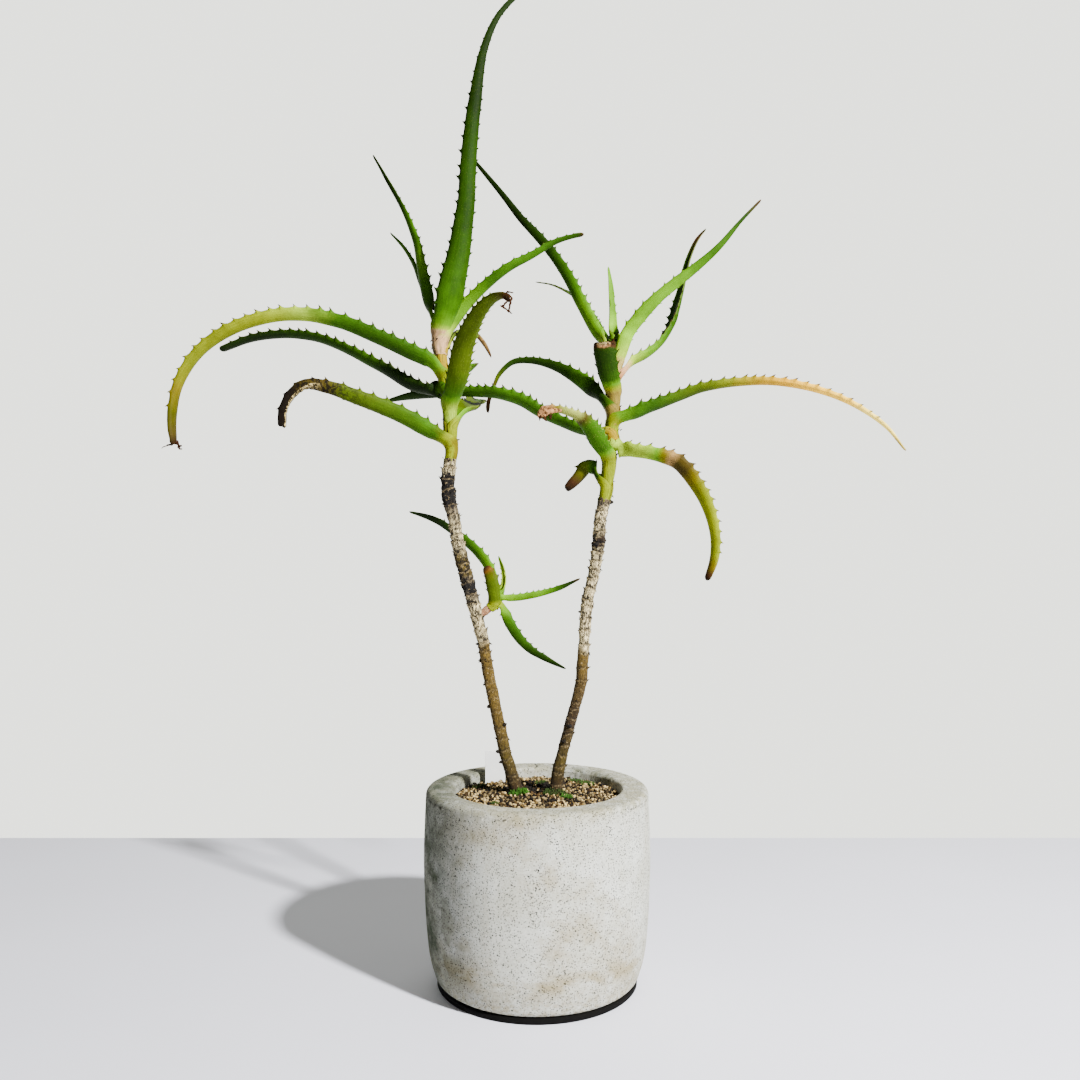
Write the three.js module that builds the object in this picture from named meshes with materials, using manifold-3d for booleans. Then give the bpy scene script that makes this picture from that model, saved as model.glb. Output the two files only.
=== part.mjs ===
// Potted krantz aloe: two bare stems with toothed, arching leaves and a side shoot,
// in a thick round concrete pot. Millimetres, +Z up, origin at the middle of the underside.
import * as THREE from 'three';
import { mergeVertices } from 'three/addons/utils/BufferGeometryUtils.js';
import Module from 'manifold-3d';

const wasm = await Module();
wasm.setup();

// Pot, pad and filling
const padRadius = 71.2;
const padHeight = 4.2;
const seatGap = 0.3;
const potBottom = padHeight + seatGap;
const potFloorTop = 17;
const rimTop = 138.2;
const rimRadius = 79.2;
const rimInnerRadius = 59.9;
const rimOuterRound = 4;
const rimInnerRound = 3;
const footRadius = 67.5;
const footRound = 5.5;
const potSegments = 32;
const potOutside = [[76.3, 21], [79, 45], [80.7, 88], [80.1, 112]];
const innerMiddle = [59.3, 90];
const innerLow = [57.5, 34];
const floorCorner = [[54, 18.2], [51, 17]];
const drainHoleRadius = 4.5;
const drainHoleRing = 21;
const drainHoleCount = 3;
const netRadius = 31;
const netThickness = 0.8;
const netHoleRadius = 4;
const netHoleRing = 19;
const netHoleCount = 6;
const drainageTop = 34;
const drainageSides = 30;
const soilTop = 133;
const soilEdgeDrop = 1.6;
const soilMound = 2.4;
const soilGap = 0.55;
const soilRoughness = 0.9;
const soilRings = 6;
const soilSpokes = 30;

// White plant label
const labelWidth = 15;
const labelThickness = 1;
const labelTop = 155.8;
const labelLength = 62;
const labelPoint = 9;
const labelPlace = [-31.7, 37];

// Stems: a bark-covered length, then a slim core inside the leaf bases
const stemSides = 9;
const scarSpacing = 8;
const scarHeight = 0.45;
const coreRadius = 3.1;
const coreTipRadius = 1.9;

// Leaves
const clearance = 0.35;
const toothSpacing = 15;
const toothOut = 2.6;
const toothForward = 1.2;
const toothStart = 0.36;
const toothEnd = 0.64;
const narrowestToothed = 2.6;
const finestDetail = 0.06;
const marginThickness = 0.9;
const leafDepth = 0.42;
const channelDepth = 0.15;
const sheathSides = 8;

const colours = {
  concrete: 0xb9b4a8,
  pad: 0x2a241f,
  net: 0x3a3d3a,
  pumice: 0xb8a68a,
  soil: 0x54473a,
  label: 0xf1f1ec,
  bark: 0x9c8767,
  deepGreen: 0x2f5a1c,
  green: 0x4d7f2a,
  lightGreen: 0x86b44a,
  yellowGreen: 0x9aa83c,
  olive: 0x6b6a2c,
};

// Stem lines as [x, y, z, radius], from the foot in the soil to the top of the core
const stems = {
  left: {
    barkTop: 372.3,
    line: [
      [-5.5, 0, 92, 4.4], [-9.5, 0, 116, 5.2], [-15.4, 0, 137, 5.1], [-19.2, 0, 149.6, 4.7],
      [-22.9, 0, 162, 4.5], [-27.9, 0, 185, 4.4], [-32.9, 0, 208, 4.5], [-37, 0, 231, 4.3],
      [-38.9, 0, 243, 4.4], [-42.5, 0, 257, 4.6], [-50.1, 0, 286, 4.8], [-54.1, 0, 300, 5],
      [-57.2, 0, 314, 4.6], [-59.4, 0, 329, 4.5], [-63, 0, 343, 4.8], [-64.2, 0, 357, 5.2],
      [-62.4, 0, 372, 4.6], [-62, 0, 386, 5], [-62, 0, 400, 5], [-63.4, 0, 415, 5], [-66, 0, 429, 5],
      [-68.6, 0, 443, 5], [-70.2, 0, 457, 5], [-69.2, 1, 474, 5],
    ],
  },
  right: {
    barkTop: 345.6,
    line: [
      [5, 0, 92, 4.2], [9, 0, 116, 4.6], [13.6, 0, 137, 4.8], [15.3, 0, 149.6, 4.8], [18, 0, 162, 4.2],
      [24.2, 0, 185, 4.1], [28.5, 0, 200, 4.1], [31.6, 0, 214, 4.5], [33, 0, 232, 4.3],
      [33.6, 0, 243, 4.1], [34.7, 0, 260, 4.4], [35.8, 0, 271, 4.5], [38.7, 0, 282, 4.1],
      [42.2, 0, 300, 4.4], [44.3, 0, 314, 4.8], [45, 0, 329, 4.5], [48.1, 0, 343, 4.7],
      [50.4, 0, 361, 4.8], [52.2, 0, 379, 5], [54.3, 0, 393, 5], [54.3, 0, 414, 5], [55.4, 0, 429, 5],
      [56.4, 0, 443, 5], [55.2, 0, 460, 5],
    ],
  },
  shoot: {
    barkTop: 266.8,
    line: [
      [-44, 0, 257, 3], [-39, 1.5, 262, 3.1], [-33, 3.5, 266.5, 3.1], [-29.5, 5, 270.5, 3],
      [-27.6, 5.8, 276.5, 3],
    ],
  },
};

// Leaves, the innermost of each stem first. sheath: heights between which the leaf's base
// wraps its stem. spine: [x, y, z, width]. face: the way the channelled side looks, at base and tip.
// teeth: the stretch of the spine that carries teeth.
const leaves = [
  {
    name: 'left_leaf_small_upper', stem: 'left', colour: 'deepGreen',
    sheath: [470.6, 479], radius: [4.6, 3.8],
    spine: [
      [-69, 2, 473, 7], [-80, 18, 490.6, 7.5], [-87, 27, 506, 6.5], [-92.4, 34, 520.5, 5.5],
      [-100.7, 40, 535, 3.8], [-112, 45, 548.2, 1],
    ],
    face: [[0.7, 0.4, 0.5], [0.7, 0.4, 0.5]], teeth: [0.3, 0.85],
  },
  {
    name: 'left_leaf_upper_left', stem: 'left', colour: 'deepGreen',
    sheath: [464.9, 470.3], radius: [5.2, 5],
    spine: [
      [-69.5, 1, 467, 10], [-78.4, 8, 484.6, 11], [-82.2, 12, 500.1, 10.8], [-85.9, 16, 517.9, 9],
      [-89.6, 20, 535.2, 6.8], [-95.4, 23, 550.8, 5.4], [-103, 26, 566.6, 3.9],
      [-113.8, 29, 586.2, 2.6], [-122.7, 31, 602.2, 1],
    ],
    face: [[0.7, 0.65, 0.25], [0.7, 0.65, 0.25]], teeth: [0.18, 0.8],
  },
  {
    name: 'left_leaf_tall', stem: 'left', colour: 'green',
    sheath: [457.9, 464.6], radius: [6, 6.4],
    spine: [
      [-69.4, -1, 459, 12], [-66.8, -6, 467.2, 13.8], [-61.4, -9, 491.4, 15],
      [-54.9, -11, 519.1, 13.4], [-49.9, -12, 554.1, 11.4], [-47.7, -12, 589.3, 10.3],
      [-44.4, -11, 620.7, 9], [-38.1, -9, 660.5, 5], [-29.4, -6, 684, 3.6], [-18.1, -3, 699.7, 2.8],
      [-6.5, 0, 709.5, 2], [5, 3, 716, 1],
    ],
    face: [[-0.26, 0.97, 0], [-0.26, 0.97, 0.1]], teeth: [0.1, 0.82],
  },
  {
    name: 'left_leaf_upper_right', stem: 'left', colour: 'lightGreen',
    sheath: [451.3, 457.6], radius: [5.8, 6.4],
    spine: [
      [-69, -1, 455, 9.6], [-60.5, -6, 470, 10], [-51.8, -9, 482, 9], [-38.2, -12, 494, 7.8],
      [-21.2, -14, 505.4, 6.8], [-2.2, -15, 515.2, 5.4], [13.2, -16, 523.6, 4.2],
      [24.4, -17, 526.9, 3.4], [32.8, -18, 528.3, 2.8],
    ],
    face: [[-0.35, 0.7, 0.6], [-0.2, 0.5, 0.8]], teeth: [0.14, 0.93],
  },
  {
    name: 'left_leaf_arched', stem: 'left', colour: 'olive',
    sheath: [434.1, 451], radius: [5.2, 4.9],
    spine: [
      [-69, 1, 444, 8], [-63.7, 6, 453.8, 7.5], [-61.4, 12, 463, 7], [-54.7, 20, 468.9, 5.8],
      [-47, 27, 467.8, 4.4], [-40.6, 32, 460.9, 3.2], [-34.8, 35, 451, 1.2],
    ],
    face: [[-0.6, -0.2, 0.7], [0.4, 0.2, 0.9]], teeth: [0.2, 0.7],
  },
  {
    name: 'left_leaf_long', stem: 'left', colour: 'yellowGreen',
    sheath: [425.6, 433.8], radius: [5.8, 6],
    spine: [
      [-66, -1, 429.5, 11], [-76.1, -7, 440.4, 12.5], [-89.9, -10, 447, 12.3],
      [-110.6, -13, 456.2, 11.3], [-138.2, -16, 467.2, 10.6], [-165.8, -18, 471.8, 10.4],
      [-193, -20, 468.4, 10], [-219.6, -22, 457, 9.8], [-237.8, -23, 441.2, 9.4],
      [-248.8, -24, 421.2, 8.6], [-252, -25, 403, 8.2], [-252, -25, 387.8, 6.8], [-250, -25, 380.6, 3],
    ],
    face: [[0, 0.55, 0.83], [-0.97, -0.2, 0.1]], teeth: [0.08, 0.82],
  },
  {
    name: 'left_leaf_dark', stem: 'left', colour: 'deepGreen',
    sheath: [418.6, 425.3], radius: [6, 6.2],
    spine: [
      [-64.7, 1, 420.5, 10], [-76, 5, 421.6, 11.5], [-92.4, 9, 427.3, 11.5], [-107.4, 13, 436.2, 11.5],
      [-122.8, 18, 445.2, 10.8], [-138.2, 22, 453.7, 10], [-161.8, 29, 464, 8.8],
      [-189.1, 34, 468.2, 7.8], [-216.5, 38, 465.6, 6.6], [-240, 41, 457.6, 5],
    ],
    face: [[0.1, 0.6, 0.8], [0, 0.2, 0.97]], teeth: [0.1, 0.97],
  },
  {
    name: 'left_leaf_short', stem: 'left', colour: 'green',
    sheath: [413.1, 418.3], radius: [5.8, 6],
    spine: [
      [-64, 1, 415, 8], [-60, 8, 426, 9.5], [-53.5, 13, 436, 9.6], [-48.6, 16, 440.2, 8],
      [-42.9, 18, 444.2, 1.2],
    ],
    face: [[-0.5, 0.3, 0.8], [-0.3, 0.3, 0.9]], teeth: [0.2, 0.9],
  },
  {
    name: 'left_leaf_front', stem: 'left', colour: 'olive',
    sheath: [399.9, 412.8], radius: [5.2, 6],
    spine: [
      [-62.5, -1, 406, 11], [-60.2, -9, 413.5, 13.4], [-55.2, -24, 428.6, 14],
      [-50.7, -36, 443.9, 13.2], [-45.2, -48, 454.6, 11.4], [-40.9, -58, 460.4, 9.8],
      [-36.7, -64, 464.9, 8.6], [-31, -72, 468.9, 7.2], [-22.9, -81, 470, 5], [-17.8, -86, 465.4, 3.4],
    ],
    face: [[0.1, 0.7, 0.65], [0.1, 0.5, 0.8]], teeth: [0.12, 0.86],
  },
  {
    name: 'left_leaf_back', stem: 'left', colour: 'green',
    sheath: [386.3, 399.6], radius: [5, 5.7],
    spine: [
      [-62, 2, 396, 10], [-57.5, 7, 405, 13], [-53.5, 15, 411, 15], [-50, 26, 414.5, 13.5],
      [-47, 38, 416.9, 10], [-43.9, 50, 419.2, 6.4], [-40.2, 66, 423.7, 1.2],
    ],
    face: [[-0.75, 0.2, 0.6], [-0.6, 0.2, 0.8]], teeth: [0.2, 0.92],
  },
  {
    name: 'left_leaf_cut', stem: 'left', colour: 'yellowGreen',
    sheath: [372.9, 386], radius: [5, 5.6],
    spine: [
      [-62.1, -1, 379.5, 11], [-68.9, -8, 386.4, 12.2], [-82.1, -16, 394.5, 12.2],
      [-101.7, -26, 404, 11.6], [-120.9, -35, 410.8, 10.4], [-139.7, -43, 416.8, 8.8],
      [-153.4, -48, 417.4, 7.6], [-162.3, -50, 411, 7.4], [-167.2, -51, 401.4, 7.2],
      [-168.4, -51, 389.9, 6.6],
    ],
    face: [[0, 0.65, 0.76], [-0.9, 0.2, 0.3]], teeth: [0.1, 0.95],
  },
  {
    name: 'right_leaf_top', stem: 'right', colour: 'lightGreen',
    sheath: [456.4, 464.5], radius: [4.2, 3.6],
    spine: [
      [55, 0, 458, 6], [54.8, 2, 465, 5.4], [54.3, 5, 480.3, 4.6], [53.4, 8, 496.9, 3.2],
      [51.7, 10, 513, 0.9],
    ],
    face: [[0.5, 0.8, 0], [0.5, 0.8, 0]], teeth: [0.3, 0.7],
  },
  {
    name: 'right_leaf_thin_back', stem: 'right', colour: 'deepGreen',
    sheath: [450.9, 456.1], radius: [4.8, 4.8],
    spine: [
      [55.2, 2, 453.5, 7], [48, 14, 464.1, 7], [39.2, 28, 484, 6], [30.6, 38, 496, 5],
      [23.3, 46, 502.8, 4.2], [11.2, 54, 510.5, 3.4], [-1.5, 60, 514.3, 2],
    ],
    face: [[0.4, -0.3, 0.85], [0.1, -0.2, 0.97]], teeth: [0.25, 0.95],
  },
  {
    name: 'right_leaf_upper_left', stem: 'right', colour: 'green',
    sheath: [443.4, 450.6], radius: [5.2, 5.6],
    spine: [
      [55.8, 1, 447, 9.4], [50, 5, 455, 9.4], [42.1, 10, 467.3, 9.4], [38.4, 14, 475, 9.4],
      [30.9, 18.5, 490.7, 9.2], [23.8, 23, 506.5, 8.4], [14.6, 27, 522.4, 7.4], [2.7, 30, 538.4, 6.6],
      [-12, 32, 554.8, 5.1], [-28.4, 35, 576.3, 3.4], [-44.8, 39, 597.3, 2.2], [-52.5, 41, 607.1, 1],
    ],
    face: [[0.35, 0.92, 0.1], [0.35, 0.92, 0.1]], teeth: [0.1, 0.76],
  },
  {
    name: 'right_leaf_upper_right', stem: 'right', colour: 'lightGreen',
    sheath: [433.3, 443.1], radius: [5.2, 5.6],
    spine: [
      [57.5, -3, 438, 9.4], [60.5, -6.5, 447, 9.2], [62.5, -8, 456.8, 9], [65.8, -8, 463.6, 8.6],
      [72.6, -11, 472, 8.8], [79.4, -13, 479.3, 8.4], [86.2, -15, 485.8, 7.4], [100, -17, 496.8, 6.8],
      [113.7, -19, 507.2, 5.2], [127.4, -20.5, 519.6, 3.7], [141.1, -21.5, 535.7, 2],
      [155.6, -22, 551.1, 1],
    ],
    face: [[-0.17, 0.95, 0.27], [-0.17, 0.95, 0.27]], teeth: [0.16, 0.72],
  },
  {
    name: 'right_leaf_channel', stem: 'right', colour: 'green',
    sheath: [421.4, 433], radius: [5.2, 5.8],
    spine: [
      [55.2, 0, 427, 8.5], [60.2, 3, 435, 9.5], [67.7, 7, 442.3, 10.4], [79.1, 12, 449.4, 10.6],
      [90, 18, 458.8, 10.8], [96.7, 22, 468.6, 11], [100.6, 25, 476.8, 10.8], [102.9, 28, 485, 10],
      [105.2, 31, 493.2, 8.4], [107.6, 33, 501.3, 6.6], [113.7, 37.5, 525.2, 4.6],
      [120.6, 40, 541, 3.2], [127.5, 41, 550, 1],
    ],
    face: [[-0.35, 0.5, 0.8], [-0.7, -0.68, 0.2]], teeth: [0.15, 0.75],
  },
  {
    name: 'right_leaf_stub', stem: 'right', colour: 'deepGreen',
    sheath: [409.8, 421.1], radius: [5.3, 6],
    spine: [
      [54.3, -1, 415, 10], [53.2, -6, 421, 12], [50.3, -11, 430.2, 13.5], [48, -15, 440.7, 14.6],
      [46.3, -19, 452.6, 15.2],
    ],
    face: [[0.3, 0.9, 0.25], [0.3, 0.9, 0.25]], teeth: [0.2, 0.94],
  },
  {
    name: 'right_leaf_arched', stem: 'right', colour: 'deepGreen',
    sheath: [400.6, 409.5], radius: [5.4, 6],
    spine: [
      [54.3, 1, 406, 11], [45.2, 4, 417.5, 13.6], [38.2, 7, 424, 13.4], [31.1, 11, 430.4, 11.2],
      [16.7, 17, 440.3, 7.8], [2, 21, 445.8, 5.6], [-12.8, 23, 446.8, 4.4], [-19.5, 24, 445, 4],
      [-27.6, 25, 437.4, 3.8], [-31.4, 26, 430.1, 3.4], [-35.1, 26.5, 418.3, 2.8],
      [-36.2, 27, 408.7, 2],
    ],
    face: [[0.3, 0.7, 0.65], [-0.9, 0.3, 0.2]], teeth: [0.1, 0.6],
  },
  {
    name: 'right_leaf_long', stem: 'right', colour: 'yellowGreen',
    sheath: [393.2, 400.3], radius: [5.4, 5.8],
    spine: [
      [54.3, -1, 396.5, 10], [59.6, -5, 401.2, 11], [72.9, -7, 405.8, 11.4], [87, -8, 411, 11.2],
      [101.2, -8, 416.3, 10.8], [115.4, -9, 421.4, 10.6], [136.3, -10, 425, 10.8],
      [161, -10, 426.4, 11], [185.8, -10, 423.7, 11], [208.4, -10, 417.1, 10.2], [228.5, -9, 408, 8.6],
      [247.9, -8, 394.2, 5.4], [261, -7, 378.3, 1],
    ],
    face: [[0, 0.6, 0.8], [0.5, -0.3, 0.8]], teeth: [0.08, 0.9],
  },
  {
    name: 'right_leaf_crossing', stem: 'right', colour: 'green',
    sheath: [386.2, 392.9], radius: [5.4, 5.8],
    spine: [
      [53.9, 2, 388, 10], [44, 5, 389.8, 10.5], [30.9, 7, 393.9, 10.6], [16.5, 11, 400.7, 10.8],
      [2, 13, 407.6, 11.4], [-12.6, 14, 416.3, 12.2], [-27.2, 15, 420.7, 11.6], [-42, 18, 422.6, 11],
      [-60.7, 22, 423.2, 9.8], [-79.6, 26, 422.3, 8.6], [-94.8, 29, 421, 7.4], [-111.5, 31, 418.2, 3],
    ],
    face: [[0.1, 0.5, 0.86], [0, 0.4, 0.9]], teeth: [0.15, 0.93],
  },
  {
    name: 'right_leaf_drooping', stem: 'right', colour: 'lightGreen',
    sheath: [375.4, 385.9], radius: [5, 5.6],
    spine: [
      [52.3, -1, 379.4, 9.6], [59, -5, 378, 10.4], [69.1, -10, 376.9, 10.8], [79.4, -13, 375.1, 10.8],
      [87.8, -14, 373, 11], [97.4, -16, 369, 11.4], [103, -17, 363.9, 11.4], [109.8, -18, 354.5, 10.4],
      [116.4, -19, 343.2, 9.6], [121.9, -19, 328.4, 8.2], [124.2, -19, 314.4, 7.4],
      [123.1, -19, 300.4, 6.4], [118.3, -18, 286, 4.2],
    ],
    face: [[0, 0.5, 0.85], [0.75, 0.62, -0.1]], teeth: [0.1, 0.92],
  },
  {
    name: 'right_leaf_folded', stem: 'right', colour: 'green',
    sheath: [356.4, 375.1], radius: [5, 5.6],
    spine: [
      [50.4, -1, 367, 10], [48.8, -7, 374.3, 12.4], [42.8, -13, 383.7, 12.6], [37.6, -18, 391.8, 11.6],
      [31.9, -23, 397.7, 9.6], [23.4, -27, 401.7, 8.4], [14.4, -29, 403.9, 7.6], [6.8, -30, 403.1, 8],
      [2.7, -30, 400, 6],
    ],
    face: [[0.3, 0.85, 0.4], [0.1, 0.55, 0.8]], teeth: [0.12, 0.95],
  },
  {
    name: 'right_leaf_hanging', stem: 'right', colour: 'olive',
    sheath: [346, 356.1], radius: [5.2, 5.8],
    spine: [
      [49.3, 0, 351.5, 9], [45.2, 4, 361.2, 10], [39.6, 7, 366.5, 10.8], [35.4, 9, 366.8, 10.4],
      [32.1, 10, 362.3, 9], [26.7, 11, 355.9, 8], [21.7, 12, 350.1, 5],
    ],
    face: [[0.5, 0.3, 0.8], [-0.6, 0.3, 0.7]], teeth: [0.2, 0.6],
  },
  {
    name: 'shoot_leaf_top', stem: 'shoot', colour: 'lightGreen',
    sheath: [275.2, 279.4], radius: [3.9, 3.2],
    spine: [
      [-27.6, 5.8, 277, 4.4], [-25.2, 8, 281, 4.2], [-24.1, 10, 286, 3.8], [-25.3, 12, 294, 2.9],
      [-28.3, 13, 302.7, 0.9],
    ],
    face: [[-0.6, -0.6, 0.3], [-0.6, -0.6, 0.3]], teeth: [0.3, 0.8],
  },
  {
    name: 'shoot_leaf_left', stem: 'shoot', colour: 'green',
    sheath: [272.9, 275], radius: [4.2, 4.4],
    spine: [
      [-28.4, 5.6, 274, 6], [-30.2, 9.5, 280, 7], [-34.5, 14, 292.5, 7.6], [-43.4, 17, 304.9, 7.8],
      [-54.6, 19, 315.1, 7.2], [-66.3, 19, 324, 5.8], [-78.8, 19, 330.6, 4], [-94.3, 19, 335.3, 1],
    ],
    face: [[0.5, 0.5, 0.7], [0.4, 0.4, 0.8]], teeth: [0.15, 0.8],
  },
  {
    name: 'shoot_leaf_right', stem: 'shoot', colour: 'lightGreen',
    sheath: [270.6, 272.7], radius: [4.2, 4.4],
    spine: [
      [-29, 5, 271.6, 4.8], [-22, 4, 271.4, 5.4], [-12.4, 3, 273.2, 5.2], [2, 2, 276, 4.6],
      [16.4, 1, 280.3, 3.4], [31, 0, 286.8, 0.9],
    ],
    face: [[0, 0.3, 0.95], [-0.2, 0.3, 0.95]], teeth: [0.2, 0.85],
  },
  {
    name: 'shoot_leaf_low', stem: 'shoot', colour: 'green',
    sheath: [268.6, 270.4], radius: [4.1, 4.4],
    spine: [
      [-30.5, 4.4, 269.5, 5.6], [-25, 3, 264.6, 7], [-20, 4, 254.6, 8.2], [-13.2, 5, 243.7, 8.2],
      [-5.2, 6, 235.3, 7.2], [5.6, 7, 228.7, 5.2], [20.8, 8, 221, 1],
    ],
    face: [[0.6, 0.5, 0.6], [0.4, 0.3, 0.9]], teeth: [0.15, 0.85],
  },
  {
    name: 'shoot_leaf_stub', stem: 'shoot', colour: 'olive',
    sheath: [267, 268.4], radius: [4, 4.2],
    spine: [
      [-31.5, 3, 268, 6], [-31, -1.5, 272.8, 7.4], [-31.9, -3, 282.2, 7.6], [-34.4, -4, 290.9, 6.4],
      [-37.5, -5, 295.2, 4],
    ],
    face: [[0.1, 0.95, 0], [0.1, 0.95, 0.2]], teeth: [0.3, 0.8],
  },
];

const lerp = THREE.MathUtils.lerp;
const vector = (p) => new THREE.Vector3(p[0], p[1], p[2]);

// A repeatable random number from 0 to 1 for two whole numbers
function scatter(a, b) {
  const wave = Math.sin(a * 127.1 + b * 311.7) * 43758.5453;
  return wave - Math.floor(wave);
}

function bodyFrom(positions, index) {
  const geometry = new THREE.BufferGeometry();
  geometry.setAttribute('position', new THREE.Float32BufferAttribute(positions, 3));
  geometry.setIndex(index);
  return geometry;
}

// Flat ends for a body of rings
function addCaps(index, rings, sides) {
  const last = (rings - 1) * sides;
  for (let side = 1; side < sides - 1; side += 1) {
    index.push(0, side + 1, side);
    index.push(last, last + side, last + side + 1);
  }
}

// Closed body through rings of points that all run the same way round
function bodyThroughRings(rings) {
  const sides = rings[0].length;
  const positions = rings.flat().flatMap((p) => p.toArray());
  const index = [];
  for (let ring = 0; ring < rings.length - 1; ring += 1) {
    for (let side = 0; side < sides; side += 1) {
      const next = (side + 1) % sides;
      const low = ring * sides;
      const high = low + sides;
      index.push(low + side, low + next, high + next);
      index.push(low + side, high + next, high + side);
    }
  }
  addCaps(index, rings.length, sides);
  return bodyFrom(positions, index);
}

function toSolid(geometry) {
  const bare = geometry.clone();
  bare.deleteAttribute('normal');
  bare.deleteAttribute('uv');
  const merged = mergeVertices(bare, 1e-4);
  const corners = merged.index.array;
  const kept = [];
  for (let i = 0; i < corners.length; i += 3) {
    const [a, b, c] = [corners[i], corners[i + 1], corners[i + 2]];
    if (a !== b && b !== c && c !== a) kept.push(a, b, c);
  }
  const mesh = new wasm.Mesh({
    numProp: 3,
    vertProperties: new Float32Array(merged.attributes.position.array),
    triVerts: new Uint32Array(kept),
  });
  const solid = new wasm.Manifold(mesh);
  if (solid.volume() < 0) throw new Error('inside out');
  return solid;
}

function toGeometry(solid) {
  const mesh = solid.getMesh();
  const geometry = new THREE.BufferGeometry();
  geometry.setAttribute('position', new THREE.Float32BufferAttribute(mesh.vertProperties, 3));
  geometry.setIndex(new THREE.Uint32BufferAttribute(mesh.triVerts, 1));
  return geometry;
}

function largestPiece(solid) {
  const pieces = solid.decompose().sort((a, b) => b.volume() - a.volume());
  return pieces[0];
}

function boxesMeet(a, b) {
  const [p, q] = [a.boundingBox(), b.boundingBox()];
  return [0, 1, 2].every((axis) => p.min[axis] < q.max[axis] && q.min[axis] < p.max[axis]);
}

// Pot and what fills it
function quarterArc(centreR, centreZ, radius, fromDegrees, toDegrees, steps) {
  const points = [];
  for (let step = 0; step <= steps; step += 1) {
    const angle = THREE.MathUtils.degToRad(lerp(fromDegrees, toDegrees, step / steps));
    points.push(new THREE.Vector2(centreR + radius * Math.cos(angle), centreZ + radius * Math.sin(angle)));
  }
  return points;
}

// The lathe turns about Y, so a quarter turn stands its axis up along +Z
function turned(profile, segments) {
  const geometry = new THREE.LatheGeometry(profile, segments);
  geometry.rotateX(Math.PI / 2);
  return geometry;
}

function upright(radius, bottom, top, x, y, sides) {
  const geometry = new THREE.CylinderGeometry(radius, radius, top - bottom, sides);
  geometry.rotateX(Math.PI / 2);
  geometry.translate(x, y, (top + bottom) / 2);
  return toSolid(geometry);
}

function drainHoles(bottom, top) {
  const holes = [];
  for (let hole = 0; hole < drainHoleCount; hole += 1) {
    const angle = (2 * Math.PI * (hole + 0.25)) / drainHoleCount;
    const [x, y] = [drainHoleRing * Math.cos(angle), drainHoleRing * Math.sin(angle)];
    holes.push(upright(drainHoleRadius, bottom, top, x, y, 10));
  }
  return holes;
}

function makePot() {
  const corner = ([radius, height]) => new THREE.Vector2(radius, height);
  const profile = [
    new THREE.Vector2(0, potBottom),
    ...quarterArc(footRadius, potBottom + footRound, footRound, -90, -20, 3),
    ...potOutside.map(corner),
    ...quarterArc(rimRadius - rimOuterRound, rimTop - rimOuterRound, rimOuterRound, 0, 90, 3),
    ...quarterArc(rimInnerRadius + rimInnerRound, rimTop - rimInnerRound, rimInnerRound, 90, 180, 2),
    corner(innerMiddle),
    corner(innerLow),
    ...floorCorner.map(corner),
    new THREE.Vector2(0, potFloorTop),
  ];
  let pot = toSolid(turned(profile, potSegments));
  for (const hole of drainHoles(potBottom - 1, potFloorTop + 1)) pot = pot.subtract(hole);
  return pot;
}

function makePad() {
  let pad = upright(padRadius, 0, padHeight, 0, 0, potSegments);
  for (const hole of drainHoles(-1, padHeight + 1)) pad = pad.subtract(hole);
  return pad;
}

function makeNet() {
  const disc = new THREE.Shape();
  disc.absarc(0, 0, netRadius, 0, 2 * Math.PI, false);
  for (let spoke = 0; spoke < netHoleCount; spoke += 1) {
    const angle = (2 * Math.PI * spoke) / netHoleCount;
    const hole = new THREE.Path();
    const [x, y] = [netHoleRing * Math.cos(angle), netHoleRing * Math.sin(angle)];
    hole.absarc(x, y, netHoleRadius, 0, 2 * Math.PI, true);
    disc.holes.push(hole);
  }
  const options = { depth: netThickness, bevelEnabled: false, curveSegments: 5 };
  const geometry = new THREE.ExtrudeGeometry(disc, options);
  geometry.translate(0, 0, potFloorTop + seatGap);
  return toSolid(geometry);
}

// Pumice layer, hollowed underneath for the net
function makeDrainage() {
  const bottom = potFloorTop + seatGap;
  const overNet = bottom + netThickness + seatGap;
  const [wallCorner, floorEdge] = floorCorner;
  const profile = [
    new THREE.Vector2(0, overNet),
    new THREE.Vector2(netRadius + seatGap, overNet),
    new THREE.Vector2(netRadius + seatGap, bottom),
    new THREE.Vector2(floorEdge[0] - seatGap, bottom),
    new THREE.Vector2(wallCorner[0] - seatGap, wallCorner[1] + seatGap),
    new THREE.Vector2(innerLow[0] - soilGap, drainageTop),
    new THREE.Vector2(0, drainageTop),
  ];
  return toSolid(turned(profile, drainageSides));
}

// Soil: a plug that fits the pot, its top raised in seeded grains and a low mound
function makeSoil() {
  const ringAt = (radius, height) => {
    const ring = [];
    for (let spoke = 0; spoke < soilSpokes; spoke += 1) {
      const angle = (2 * Math.PI * spoke) / soilSpokes;
      ring.push(new THREE.Vector3(radius * Math.cos(angle), radius * Math.sin(angle), height(spoke)));
    }
    return ring;
  };
  const edge = soilTop - soilEdgeDrop;
  const edgeRadius = rimInnerRadius - 4 * soilGap;
  const rings = [
    ringAt(innerLow[0] - soilGap, () => drainageTop + seatGap),
    ringAt(innerMiddle[0] - soilGap, () => innerMiddle[1]),
    ringAt(rimInnerRadius - soilGap, () => edge - soilRoughness),
  ];
  for (let ring = 0; ring < soilRings; ring += 1) {
    const share = 1 - ring / soilRings;
    const mound = soilMound * (1 - share * share);
    const grain = (spoke) => (2 * scatter(ring, spoke) - 1) * soilRoughness;
    rings.push(ringAt(edgeRadius * share, (spoke) => edge + mound + grain(spoke)));
  }
  rings.push(ringAt(soilEdgeDrop, () => edge + soilMound));
  return toSolid(bodyThroughRings(rings));
}

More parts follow.
